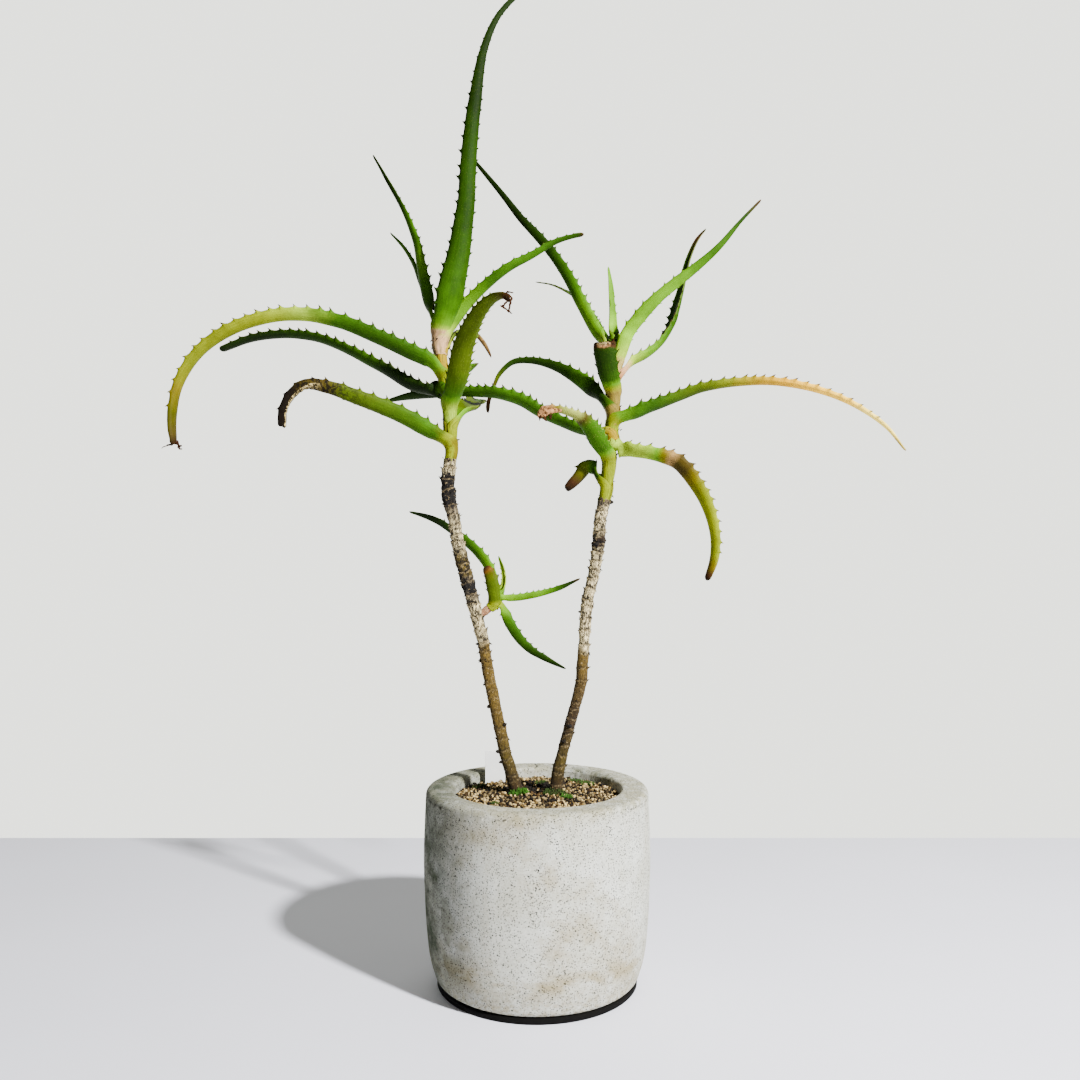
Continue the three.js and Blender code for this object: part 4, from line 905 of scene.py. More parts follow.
# Leaves, the innermost of each stem first. sheath: heights between which the base wraps its
# stem. spine: x, y, z and width. face: the way the channelled side looks, at base and tip.
# teeth: the toothed stretch, with the spacing. tones: colours from base (0) to tip (1).
leaves = {
    "left_leaf_small_upper": {
        "slot": "dark_leaf", "sheath": (470.6, 479), "radius": (4.6, 3.8),
        "spine": [(-69, 2, 473, 7), (-80, 18, 490.6, 7.5), (-87, 27, 506, 6.5), (-92.4, 34, 520.5, 5.5),
                  (-100.7, 40, 535, 3.8), (-112, 45, 548.2, 1)],
        "face": [(0.7, 0.4, 0.5), (0.7, 0.4, 0.5)], "teeth": (0.3, 0.85, 7),
        "tones": [(0, "green"), (0.2, "deep"), (0.4, "mid"), (0.75, "green"), (1, "mid")],
    },
    "left_leaf_upper_left": {
        "slot": "dark_leaf", "sheath": (464.9, 470.3), "radius": (5.2, 5),
        "spine": [(-69.5, 1, 467, 10), (-78.4, 8, 484.6, 11), (-82.2, 12, 500.1, 10.8),
                  (-85.9, 16, 517.9, 9), (-89.6, 20, 535.2, 6.8), (-95.4, 23, 550.8, 5.4),
                  (-103, 26, 566.6, 3.9), (-113.8, 29, 586.2, 2.6), (-122.7, 31, 602.2, 1)],
        "face": [(0.7, 0.65, 0.25), (0.7, 0.65, 0.25)], "teeth": (0.18, 0.8, 8),
        "tones": [(0, "light"), (0.1, "mid"), (0.25, "green"), (0.38, "light"), (0.5, "green"),
                  (0.62, "green"), (0.76, "deep"), (1, "dark")],
    },
    "left_leaf_tall": {
        "slot": "green_leaf", "sheath": (457.9, 464.6), "radius": (6, 6.4),
        "spine": [(-69.4, -1, 459, 12.4), (-66.8, -6, 467.2, 15.6), (-61.4, -10, 488, 18.6),
                  (-54.9, -11, 519.1, 14.8), (-49.9, -12, 554.1, 11.4), (-47.7, -12, 589.3, 10.3),
                  (-44.4, -11, 620.7, 9), (-38.1, -9, 660.5, 5), (-29.4, -6, 684, 3.6),
                  (-18.1, -3, 699.7, 2.8), (-6.5, 0, 709.5, 2), (5, 3, 716, 1)],
        "face": [(-0.26, 0.97, 0), (-0.26, 0.97, 0.1)], "teeth": (0.1, 0.82, 9),
        # the deep and dark tones over the upper part are painted shade
        "tones": [(0, "pinkPale"), (0.015, "paleGreen"), (0.04, "light"), (0.1, "green"), (0.2, "mid"),
                  (0.32, "deep"), (0.46, "deep"), (0.56, "dark"), (1, "dark")],
        "sheen": 0.03,
    },
    "left_leaf_upper_right": {
        "slot": "light_leaf", "sheath": (451.3, 457.6), "radius": (5.8, 6.4),
        "spine": [(-69, -1, 455, 9.6), (-61.2, 4.5, 470, 10), (-52, 2, 482, 8.6), (-38.2, -5.5, 494, 7.8),
                  (-21.2, -14, 505.4, 6.8), (-2.2, -15, 515.2, 5.4), (13.2, -16, 523.6, 4.2),
                  (24.4, -17, 526.9, 3.4), (32.8, -18, 528.3, 2.8)],
        "face": [(-0.35, 0.7, 0.6), (-0.2, 0.5, 0.8)], "teeth": (0.14, 0.93, 7.2),
        "tones": [(0, "pinkPale"), (0.05, "paleGreen"), (0.15, "light"), (0.3, "light"), (0.42, "green"),
                  (0.6, "green"), (0.8, "mid"), (0.94, "mid"), (1, "brown")],
    },
    "left_leaf_arched": {
        "slot": "olive_leaf", "sheath": (434.1, 451), "radius": (5.2, 4.9),
        "spine": [(-69, 1, 444, 8), (-63.7, 6, 453.8, 7.5), (-61.4, 12, 463, 7), (-54.7, 20, 468.9, 5.8),
                  (-47, 27, 467.8, 4.4), (-40.6, 32, 460.9, 3.2), (-34.8, 35, 451, 1.2)],
        "face": [(-0.6, -0.2, 0.7), (0.4, 0.2, 0.9)], "teeth": (0.2, 0.7, 8),
        "tones": [(0, "yellow"), (0.12, "yellowGreen"), (0.25, "oliveGreen"), (0.5, "deep"),
                  (0.66, "oliveGreen"), (0.78, "driedTan"), (1, "brown")],
        "dry": (0.6, 0.9, 1.6),
    },
    "left_leaf_long": {
        "slot": "yellow_leaf", "sheath": (425.6, 433.8), "radius": (5.8, 6),
        "spine": [(-66, -1, 429.5, 11), (-76.1, -7, 440.4, 12.5), (-89.9, -10, 447, 12.3),
                  (-110.6, -13, 456.2, 11.3), (-138.2, -16, 467.2, 10.6), (-165.8, -18, 471.8, 10.4),
                  (-193, -20, 468.4, 10), (-219.6, -22, 457, 9.8), (-237.8, -23, 441.2, 9.4),
                  (-248.8, -24, 421.2, 8.6), (-252, -25, 403, 8.2), (-252, -25, 387.8, 7.2),
                  (-250, -25, 380.6, 4.2)],
        "face": [(0, 0.55, 0.83), (-0.95, 0.2, 0.1)], "teeth": (0.08, 0.82, 8.5),
        "tones": [(0, "yellowGreen"), (0.05, "light"), (0.1, "green"), (0.2, "mid"), (0.28, "mid"),
                  (0.35, "green"), (0.41, "paleGreen"), (0.5, "yellowGreen"), (0.58, "mustard"),
                  (0.7, "mustard"), (0.77, "ochre"), (0.84, "olive"), (0.92, "oliveBrown"), (1, "black")],
        "dry": (0.93, 1.0, 1.8),
        "frays": [[(-250.5, -25, 384, 2.6), (-252.4, -25.4, 381, 1.9), (-256.5, -25, 379.8, 1.1),
                   (-260, -25.5, 378, 0.5)],
                  [(-250, -25, 383, 2.2), (-247.6, -24.6, 379, 1.9), (-246.2, -24.4, 380.4, 0.8)],
                  [(-249, -25, 381, 1.8), (-248.4, -24.4, 378.4, 1.4), (-246, -24, 377.4, 0.8)]],
    },
    "left_leaf_dark": {
        "slot": "dark_leaf", "sheath": (418.6, 425.3), "radius": (6, 6.2),
        "spine": [(-64.7, 1, 420.5, 10), (-76, 5, 421.6, 12), (-92.4, 9, 427.3, 12.4),
                  (-107.4, 13, 436.2, 12.4), (-122.8, 18, 445.2, 12), (-138.2, 22, 453.7, 11.4),
                  (-161.8, 29, 464, 10.4), (-189.1, 34, 468.2, 9.6), (-216.5, 38, 465.6, 8.4),
                  (-240, 41, 457.6, 6.6)],
        "face": [(0.1, 0.6, 0.8), (0, 0.2, 0.97)], "teeth": (0.1, 0.97, 7.5),
        "tones": [(0, "green"), (0.07, "dark"), (0.35, "dark"), (0.46, "mid"), (0.7, "deep"),
                  (0.85, "dark"), (1, "dark")],
    },
    "left_leaf_short": {
        "slot": "green_leaf", "sheath": (413.1, 418.3), "radius": (5.8, 6),
        "spine": [(-64, 1, 415, 8), (-60, 8, 426, 9.5), (-53.5, 13, 436, 9.6), (-48.6, 16, 440.2, 8),
                  (-42.9, 18, 444.2, 1.2)],
        "face": [(-0.5, 0.3, 0.8), (-0.3, 0.3, 0.9)], "teeth": (0.2, 0.9, 8),
        "tones": [(0, "green"), (0.3, "mid"), (0.5, "light"), (0.8, "green"), (1, "brown")],
    },
    "left_leaf_front": {
        "slot": "olive_leaf", "sheath": (399.9, 412.8), "radius": (5.2, 6),
        "spine": [(-62.5, -1, 406, 11), (-60.2, -9, 413.5, 13.4), (-55.2, -24, 428.6, 14),
                  (-50.7, -36, 443.9, 13.2), (-45.2, -48, 454.6, 11.4), (-40.9, -58, 460.4, 9.8),
                  (-36.7, -64, 464.9, 8.6), (-31, -72, 468.9, 7.2), (-22.9, -81, 470, 5),
                  (-17.8, -86, 465.4, 3.4)],
        "face": [(0.1, 0.7, 0.65), (0.1, 0.5, 0.8)], "teeth": (0.12, 0.86, 6.5),
        "tones": [(0, "paleGreen"), (0.05, "light"), (0.1, "green"), (0.26, "oliveGreen"),
                  (0.8, "oliveGreen"), (0.88, "olive"), (0.94, "brown"), (1, "black")],
        "dry": (0.86, 1.0, 2.2),
        "frays": [[(-21, -84, 470, 1.6), (-18.5, -86, 471.4, 1.3), (-15.1, -86, 470.6, 0.9)],
                    [(-19, -85, 469.5, 1.8), (-16.4, -86, 468.2, 1.6), (-16.7, -86.4, 463.8, 1.5),
                     (-17.6, -86.4, 460, 1.3), (-15.8, -86, 457.8, 0.7)],
                    [(-21, -84, 468.9, 1.7), (-18.9, -85.6, 466.4, 1.3), (-20.8, -86, 463.4, 1.4),
                     (-22.9, -86, 462.4, 1.8)],
                    [(-22.6, -86, 462.6, 1.3), (-19.5, -86.2, 460.6, 1.2), (-17.2, -86.2, 458.6, 1)]],
        "specks": 0.2,
    },
    "left_leaf_back": {
        "slot": "green_leaf", "sheath": (386.3, 399.6), "radius": (5, 5.7),
        "spine": [(-62, 2, 396, 10), (-58, 7, 405.4, 15), (-54.2, 15, 411.6, 16), (-49, 26, 414.4, 12),
                  (-47.6, 38, 419, 11.5), (-44, 50, 420.2, 7), (-40.2, 66, 423.7, 1.2)],
        "face": [(0.15, -0.7, 0.7), (0.2, -0.5, 0.85)], "teeth": (0.4, 0.92, 8),
        "tones": [(0, "yellowGreen"), (0.1, "light"), (0.2, "light"), (0.3, "oliveGreen"),
                  (0.7, "oliveGreen"), (0.85, "mid"), (1, "deep")],
    },
    "left_leaf_cut": {
        "slot": "yellow_leaf", "sheath": (372.9, 386), "radius": (5, 5.6),
        "spine": [(-62.1, -1, 379.5, 11), (-68.9, -8, 386.4, 12.2), (-82.1, -16, 394.5, 12.2),
                  (-101.7, -26, 404, 11.6), (-120.9, -35, 410.8, 10.4), (-139.7, -43, 416.8, 8.8),
                  (-153.4, -48, 417.4, 7.6), (-162.3, -50, 411, 7.4), (-167.2, -51, 401.4, 7.2),
                  (-168.4, -51, 389.9, 6.6)],
        "face": [(0, 0.65, 0.76), (-0.9, 0.2, 0.3)], "teeth": (0.1, 0.95, 9.5),
        # the black of the dried end is partly dark dried tissue and partly painted shade on the face turned
        # from the light; the cream of its backTones is partly a painted highlight
        "tones": [(0, "ochre"), (0.04, "yellowGreen"), (0.1, "oliveGreen"), (0.2, "green"),
                  (0.42, "oliveGreen"), (0.5, "oliveGreen"), (0.57, "oliveBrown"), (0.68, "oliveBrown"),
                  (0.76, "black"), (1, "black")],
        "backTones": [(0, "yellowGreen"), (0.12, "green"), (0.5, "oliveGreen"), (0.58, "oliveBrown"),
                      (0.64, "driedCream"), (1, "driedCream")],
        "backReach": 0.24, "blots": (0.38, 0.58), "mottle": "black", "dry": (0.54, 0.72, 1.7),
        "wilt": (0.56, 0.7, 0.8), "blunt": True,
    },
    "right_leaf_top": {
        "slot": "light_leaf", "sheath": (456.4, 464.5), "radius": (4.2, 3.6),
        "spine": [(55, 0, 458, 6), (54.8, 2, 465, 5.4), (54.3, 5, 480.3, 4.6), (53.4, 8, 496.9, 3.2),
                  (51.7, 10, 513, 0.9)],
        "face": [(0.35, -0.9, 0.1), (0.35, -0.9, 0.1)], "teeth": (0.3, 0.7, 9),
        "tones": [(0, "light"), (0.2, "lime"), (0.5, "light"), (1, "light")],
    },
    "right_leaf_thin_back": {
        "slot": "dark_leaf", "sheath": (450.9, 456.1), "radius": (4.8, 4.8),
        "spine": [(55.2, 2, 453.5, 7), (48, 14, 464.1, 7), (39.2, 28, 484, 6), (30.6, 38, 496, 5),
                  (23.3, 46, 502.8, 4.2), (11.2, 54, 510.5, 3.4), (-1.5, 60, 514.3, 2)],
        "face": [(0.4, -0.3, 0.85), (0.1, -0.2, 0.97)], "teeth": (0.25, 0.95, 7),
        "tones": [(0, "green"), (0.5, "green"), (0.7, "deep"), (1, "dark")],
    },
    "right_leaf_upper_left": {
        "slot": "green_leaf", "sheath": (443.4, 450.6), "radius": (5.2, 5.6),
        "spine": [(55.8, 1, 447, 9.4), (50, 5, 455, 9.4), (42.1, 10, 467.3, 9.4), (38.4, 14, 475, 9.4),
                  (30.9, 18.5, 490.7, 9.2), (23.8, 23, 506.5, 8.4), (14.6, 27, 522.4, 7.4),
                  (2.7, 30, 538.4, 6.6), (-12, 32, 554.8, 5.1), (-28.4, 35, 576.3, 3.4),
                  (-44.8, 39, 597.3, 2.2), (-52.5, 41, 607.1, 1)],
        "face": [(0.75, 0.62, 0.2), (0.4, 0.9, 0.1)], "teeth": (0.1, 0.76, 7.5),
        "tones": [(0, "paleGreen"), (0.06, "paleGreen"), (0.14, "light"), (0.3, "light"),
                  (0.4, "green"), (0.5, "mid"), (0.6, "deep"), (0.72, "dark"), (1, "dark")],
    },
    "right_leaf_upper_right": {
        "slot": "light_leaf", "sheath": (433.3, 443.1), "radius": (5.2, 5.6),
        "spine": [(57.5, -3, 438, 9.4), (60.5, -6.5, 447, 9.2), (62.5, -8, 456.8, 9),
                  (65.8, -8, 463.6, 8.6), (72.6, -11, 472, 8.8), (79.4, -13, 479.3, 8.4),
                  (86.2, -15, 485.8, 7.4), (100, -17, 496.8, 6.8), (113.7, -19, 507.2, 5.2),
                  (127.4, -20.5, 519.6, 3.7), (141.1, -21.5, 535.7, 2), (155.6, -22, 551.1, 1)],
        "face": [(-0.17, 0.95, 0.27), (-0.17, 0.95, 0.27)], "teeth": (0.16, 0.72, 8.5),
        "tones": [(0, "cream"), (0.05, "paleGreen"), (0.2, "lime"), (0.4, "light"), (0.6, "light"),
                  (0.74, "green"), (0.86, "mid"), (0.94, "deep"), (1, "brown")],
    },
    "right_leaf_channel": {
        "slot": "green_leaf", "sheath": (421.4, 433), "radius": (5.2, 5.8),
        "spine": [(55.2, 0, 427, 8.5), (60.2, 3, 435, 9.5), (67.7, 7, 442.3, 10.4),
                  (79.1, 12, 449.4, 10.6), (90, 18, 458.8, 10.8), (96.7, 22, 468.6, 11),
                  (100.6, 25, 476.8, 10.8), (102.9, 28, 485, 10), (105.2, 31, 493.2, 8.4),
                  (107.6, 33, 501.3, 6.6), (113.7, 37.5, 525.2, 4.6), (120.6, 40, 541, 3.2),
                  (127.5, 41, 550, 1)],
        "face": [(-0.35, 0.5, 0.8), (-0.7, -0.68, 0.2)], "teeth": (0.15, 0.75, 7.5),
        "tones": [(0, "pink"), (0.08, "pinkPale"), (0.16, "paleGreen"), (0.25, "light"), (0.36, "green"),
                  (0.46, "mid"), (0.75, "mid"), (0.84, "deep"), (0.92, "brown"), (1, "black")],
    },
    "right_leaf_stub": {
        "slot": "dark_leaf", "sheath": (409.8, 421.1), "radius": (5.3, 6),
        "spine": [(54.3, -1, 415, 10), (53.2, -6, 421, 12), (50.3, -11, 430.2, 13.5), (48, -15, 440.7, 14.6),
                  (46.3, -19, 452.6, 15.2)],
        "face": [(0.3, 0.9, 0.25), (0.3, 0.9, 0.25)], "teeth": (0.2, 0.94, 7),
        "frays": [[(52.6, -19, 450.5, 1.8), (53.4, -19.4, 453.4, 1.2), (53.8, -19.6, 455.8, 0.5)]],
        "tones": [(0, "tan"), (0.14, "yellowGreen"), (0.26, "light"), (0.4, "mid"), (0.6, "deep"),
                  (0.9, "deep"), (0.94, "brown"), (1, "black")],
        "backTones": [(0, "tan"), (0.14, "yellowGreen"), (0.26, "light"), (0.4, "mid"), (0.6, "deep"),
                      (0.93, "deep"), (0.95, "driedPink"), (1, "driedCream")],
        "backReach": 0.6, "blots": (0.92, 0.97), "dry": (0.92, 0.97, 0.62), "blunt": True,
    },
    "right_leaf_arched": {
        "slot": "dark_leaf", "sheath": (400.6, 409.5), "radius": (5.4, 6),
        "spine": [(54.3, 1, 406, 11), (45.2, 4, 417.5, 13.6), (38.2, 7, 424, 13.4),
                  (31.1, 11, 430.4, 11.2), (16.7, 17, 440.3, 7.8), (2, 21, 445.8, 5.6),
                  (-12.8, 23, 446.8, 4.4), (-19.5, 24, 445, 4), (-27.6, 25, 437.4, 3.8),
                  (-31.4, 26, 430.1, 3.4), (-35.1, 26.5, 418.3, 2.8), (-36.2, 27, 408.7, 2)],
        "face": [(0.3, 0.7, 0.65), (-0.9, 0.3, 0.2)], "teeth": (0.1, 0.6, 7),
        # the green stop at a quarter of the length, between darker ones, is a painted highlight
        "tones": [(0, "tan"), (0.012, "green"), (0.05, "deep"), (0.16, "dark"), (0.25, "green"),
                  (0.33, "deep"), (0.66, "deep"), (0.76, "oliveGreen"), (0.84, "oliveBrown"),
                  (0.92, "brown"), (1, "black")],
        "dry": (0.82, 0.95, 1.8),
    },
    "right_leaf_long": {
        "slot": "yellow_leaf", "sheath": (393.2, 400.3), "radius": (5.4, 5.8),
        "spine": [(54.3, -1, 396.5, 10), (59.6, -5, 401.2, 11), (72.9, -7, 405.8, 11.4),
                  (87, -8, 411, 11.2), (101.2, -8, 416.3, 10.8), (115.4, -9, 421.4, 10.6),
                  (136.3, -10, 425, 10.8), (161, -10, 426.4, 11), (185.8, -10, 423.7, 11),
                  (208.4, -10, 417.1, 10.2), (228.5, -9, 408, 8.8), (247.9, -8, 394.2, 6.6),
                  (261, -7, 378.3, 3.4)],
        "face": [(0, 0.6, 0.8), (0.5, -0.3, 0.8)], "teeth": (0.08, 0.9, 7.5),
        "tones": [(0, "yellowGreen"), (0.05, "light"), (0.14, "green"), (0.24, "mid"), (0.43, "oliveGreen"),
                  (0.5, "mustard"), (0.57, "yellow"), (0.63, "orange"), (0.78, "orangePale"),
                  (0.86, "strawYellow"), (0.95, "strawYellow"), (1, "tan")],
        "blunt": True,
    },
    "right_leaf_crossing": {
        "slot": "green_leaf", "sheath": (386.2, 392.9), "radius": (5.4, 5.8),
        "spine": [(53.9, 2, 388, 10), (44, 5, 389.8, 10.5), (30.9, 7, 393.9, 10.6),
                  (16.5, 11, 400.7, 10.8), (2, 13, 407.6, 11.4), (-12.6, 14, 416.3, 12.2),
                  (-27.2, 15, 420.7, 11.6), (-42, 18, 422.6, 11), (-60.7, 22, 423.2, 9.8),
                  (-79.6, 26, 422.3, 8.6), (-94.8, 29, 421, 7.4), (-111.5, 31, 418.2, 3)],
        "face": [(0.1, 0.5, 0.86), (0, 0.4, 0.9)], "teeth": (0.15, 0.93, 6.5),
        "tones": [(0, "yellow"), (0.05, "light"), (0.14, "green"), (0.22, "mid"), (0.5, "green"),
                  (0.62, "mid"), (0.72, "green"), (0.8, "dark"), (1, "deep")],
    },
    "right_leaf_drooping": {
        "slot": "light_leaf", "sheath": (375.4, 385.9), "radius": (5, 5.6),
        "spine": [(52.3, -1, 379.4, 9.6), (59, -5, 378, 10.4), (69.1, -10, 376.9, 10.8),
                  (79.4, -13, 375.1, 10.8), (87.8, -14, 373, 11), (97.4, -16, 369, 11.4),
                  (103, -17, 363.9, 11.4), (109.8, -18, 354.5, 10.4), (116.4, -19, 343.2, 9.6),
                  (121.9, -19, 328.4, 8.2), (124.2, -19, 314.4, 7.4), (123.1, -19, 300.4, 6.4),
                  (118.3, -18, 286, 4.2)],
        "face": [(0, 0.5, 0.85), (0.75, 0.62, -0.1)], "teeth": (0.1, 0.92, 7.5),
        "tones": [(0, "paleGreen"), (0.2, "paleGreen"), (0.3, "light"), (0.35, "ochre"),
                  (0.38, "driedTan"), (0.42, "oliveBrown"), (0.5, "oliveBrown"), (0.56, "ochre"),
                  (0.64, "mustard"), (0.76, "yellowGreen"), (0.88, "yellowGreen"), (0.93, "ochre"),
                  (0.97, "brown"), (1, "black")],
    },
    "right_leaf_folded": {
        "slot": "green_leaf", "sheath": (356.4, 375.1), "radius": (5, 5.6),
        "spine": [(50.4, -1, 367, 10), (48.8, -7, 374.3, 12.4), (42.8, -13, 383.7, 12.6),
                  (37.6, -18, 391.8, 11.6), (31.9, -23, 397.7, 9.6), (23.4, -27, 401.7, 8.4),
                  (14.4, -29, 403.9, 7.6), (6.8, -30, 403.1, 8), (2.7, -30, 400, 6)],
        "face": [(0.3, 0.85, 0.4), (0.1, 0.55, 0.8)], "teeth": (0.12, 0.95, 4.6),
        "tones": [(0, "yellowGreen"), (0.08, "light"), (0.14, "green"), (0.42, "green"),
                  (0.5, "oliveBrown"), (0.56, "paleOlive"), (0.7, "paleOlive"), (0.78, "ochre"),
                  (0.86, "driedPink"), (1, "driedPink")],
        "dry": (0.72, 0.95, 1.5), "wilt": (0.48, 0.6, 0.68), "blunt": True, "specks": 0.35, "pale": 0.5,
        "strands": [[(17, -29, 404, 4), (11, -29.5, 404.4, 6), (5.5, -30, 402.8, 8), (2.4, -30.3, 400.2, 6),
                     (0.8, -30.3, 398.4, 2.5)]],
        "frays": [[(6, -31, 400, 3), (5.2, -31.4, 397.6, 1.8), (6.4, -31.2, 396, 0.7)],
                  [(9, -31, 400.4, 2.6), (9.4, -31.4, 398, 1.6), (8.4, -31.2, 396.8, 0.6)],
                  [(2.6, -31, 399.6, 2.2), (1.6, -31.2, 398, 1.5), (2.2, -31, 396.6, 0.6)]],
    },
    "right_leaf_hanging": {
        "slot": "olive_leaf", "sheath": (346, 356.1), "radius": (5.2, 5.8),
        "spine": [(49.3, 0, 351.5, 9), (45.2, 4, 361.2, 10), (39.6, 7, 366.5, 10.8), (35.4, 9, 366.8, 10.4),
                  (32.1, 10, 362.3, 9), (26.7, 11, 355.9, 8), (21.7, 12, 350.1, 5)],
        "face": [(0.1, 0.9, 0.4), (-0.5, 0.65, 0.5)], "teeth": (0.2, 0.6, 8),
        "tones": [(0, "yellowGreen"), (0.1, "mid"), (0.2, "deep"), (0.33, "green"), (0.45, "oliveGreen"),
                  (0.66, "olive"), (0.82, "brown"), (1, "black")],
        "dry": (0.75, 1.0, 1.4),
    },
    "shoot_leaf_top": {
        "slot": "light_leaf", "sheath": (275.2, 279.4), "radius": (3.9, 3.2),
        "spine": [(-27.6, 5.8, 277, 4.4), (-25.2, 8, 281, 4.2), (-24.1, 10, 286, 3.8), (-25.3, 12, 294, 2.9),
                  (-28.3, 13, 302.7, 0.9)],
        "face": [(-0.6, -0.6, 0.3), (-0.6, -0.6, 0.3)], "teeth": (0.3, 0.8, 6),
        "tones": [(0, "light"), (0.2, "paleGreen"), (0.6, "paleGreen"), (1, "light")],
    },
    "shoot_leaf_left": {
        "slot": "green_leaf", "sheath": (272.9, 275), "radius": (4.2, 4.4),
        "spine": [(-28.4, 5.6, 274, 6), (-30.2, 9.5, 280, 7), (-34.5, 14, 292.5, 7.6),
                  (-43.4, 17, 304.9, 7.8), (-54.6, 19, 315.1, 7.2), (-66.3, 19, 324, 5.8),
                  (-78.8, 19, 330.6, 4), (-94.3, 19, 335.3, 1)],
        "face": [(0.3, 0.8, 0.5), (0.3, 0.8, 0.5)], "teeth": (0.15, 0.8, 7),
        "tones": [(0, "light"), (0.3, "light"), (0.45, "green"), (0.6, "mid"), (0.75, "dark"),
                  (1, "dark")],
    },
    "shoot_leaf_right": {
        "slot": "light_leaf", "sheath": (270.6, 272.7), "radius": (4.2, 4.4),
        "spine": [(-29, 5, 271.6, 4.8), (-22, 4, 271.4, 5.4), (-12.4, 3, 273.2, 5.2), (2, 2, 276, 4.6),
                  (16.4, 1, 280.3, 3.4), (31, 0, 286.8, 0.9)],
        "face": [(-0.2, 0.85, 0.5), (-0.2, 0.85, 0.5)], "teeth": (0.2, 0.85, 5.5),
        "tones": [(0, "light"), (0.1, "lime"), (0.4, "light"), (0.6, "light"), (0.74, "green"),
                  (0.84, "deep"), (0.93, "dark"), (1, "brown")],
    },
    "shoot_leaf_low": {
        "slot": "green_leaf", "sheath": (268.6, 270.4), "radius": (4.1, 4.4),
        "spine": [(-30.5, 4.4, 269.5, 5.6), (-25, 3, 264.6, 7), (-20, 4, 254.6, 7), (-13.2, 5, 243.7, 6.8),
                  (-5.2, 6, 235.3, 6.2), (5.6, 7, 228.7, 4.6), (20.8, 8, 221, 1)],
        "face": [(-0.1, 0.8, 0.6), (0.1, 0.8, 0.6)], "teeth": (0.15, 0.85, 7),
        "tones": [(0, "yellowGreen"), (0.17, "light"), (0.3, "green"), (0.48, "mid"), (0.8, "deep"),
                  (1, "dark")],
    },
    "shoot_leaf_stub": {
        "slot": "olive_leaf", "sheath": (267, 268.4), "radius": (4, 4.2),
        "spine": [(-31.5, 3, 268, 6), (-31, -1.5, 272.8, 8.4), (-31.9, -3, 282.2, 8.8),
                  (-34.4, -4, 290.9, 7.2), (-37.5, -5, 295.2, 4.6)],
        "face": [(0.1, 0.95, 0), (0.1, 0.95, 0.2)], "teeth": (0.3, 0.8, 6),
        "tones": [(0, "yellowGreen"), (0.15, "oliveGreen"), (0.55, "oliveGreen"), (0.72, "olive"),
                  (0.84, "orangeBrown"), (0.94, "brown"), (1, "black")],
        "dry": (0.8, 1.0, 1.6),
    },
}
leafSettings = {
    "across": 9, "step": 2.2, "parts": 16, "raised": 0.06, "tuck": 4.5, "shootTuck": 1.6,
    "nearThroat": (7.5, 6), "bluntTip": 0.8, "sheathWall": 1.3, "wrap": 0.99 * math.pi, "bend": 0.58,
    "thick": 0.27, "thinnest": 0.55, "margin": 0.75, "tooth": 2.6, "toothWidth": 2.5, "hook": 0.6,
    "scallop": 0.4, "tip": 3.0, "openLength": 1.15, "early": 2.5, "faceLength": 2.2, "waver": 0.25,
    "torn": 1.1, "seed": 41,
}


def leafPath(name, leaf):
    # samples along the blade: length so far, point, share of the spine, width and shaping values
    settings = leafSettings
    stem, spine = stemOf(name), leaf["spine"]
    low, high = leaf["sheath"]
    points = [Vector(p[:3]) for p in spine]
    first = (points[1] - points[0]).normalized()
    middle = stemPoint(stem, (low + high) / 2)[0]
    out = (points[1] + points[2]) / 2 - middle
    out = Vector((out.x, out.y, 0)).normalized()
    rise = clamped(first.z)
    start = lerp(clamped((points[0].z - low) / (high - low)), 0.9, rise)
    start = lerp(low, high, start)
    tuck = settings["shootTuck" if stem == "shoot" else "tuck"]
    radii = [leaf["radius"][0] - settings["sheathWall"] - 0.5, leaf["radius"][1] - settings["sheathWall"]]
    if stem == "shoot":
        radii = [r + 0.5 for r in radii]
    foot = stemPoint(stem, low - tuck)[0] + out * radii[0]
    throat = stemPoint(stem, start)[0] + out * radii[1]
    spans = len(spine) - 1
    faces = [Vector(f) for f in leaf["face"]]
    knots = [(foot, 0.0, spine[0][3]), (throat, 0.0, spine[0][3])]
    for k in range(1, len(spine)):
        share = k / spans
        along = (points[min(k + 1, spans)] - points[k - 1]).normalized()
        face = faces[0].lerp(faces[1], share)
        top = (face - along * face.dot(along)).normalized()
        knot = points[k] + top * settings["raised"] * spine[k][3]
        near, ahead = settings["nearThroat"]
        if k == 1 and ((knot - throat).length < near or (knot - throat).dot(points[2] - throat) < ahead):
            continue
        knots.append((knot, share, spine[k][3]))
    samples, length, last = [], 0.0, None
    for number, point in curveSamples([k[0] for k in knots], settings["parts"]):
        length += (point - last).length if last else 0.0
        last = point
        k = min(int(number), len(knots) - 2)
        part = number - k
        samples.append((length, point, lerp(knots[k][1], knots[k + 1][1], part),
                        lerp(knots[k][2], knots[k + 1][2], part)))
    throatLength = samples[settings["parts"]][0]
    return samples, throatLength, out, radii


def toothPlaces(samples, leaf, rng):
    # centres, widths and heights of one margin's teeth along the blade
    start, end, spacing = leaf["teeth"]
    lengths = [s[0] for s in samples if start <= s[2] <= end]
    places, at = [], lengths[0] + rng.uniform(0.2, 0.8) * spacing
    while at < lengths[-1]:
        width = samples[min(bisect.bisect([s[0] for s in samples], at), len(samples) - 1)][3]
        size = min(1.0, (width / 11) ** 1.2) * rng.uniform(0.8, 1.15)
        if width > 2.2:
            places.append((round(at, 2), leafSettings["toothWidth"] * size, leafSettings["tooth"] * size))
        at += spacing * rng.uniform(0.8, 1.2) * (0.8 if width < 6 else 1)
    return places


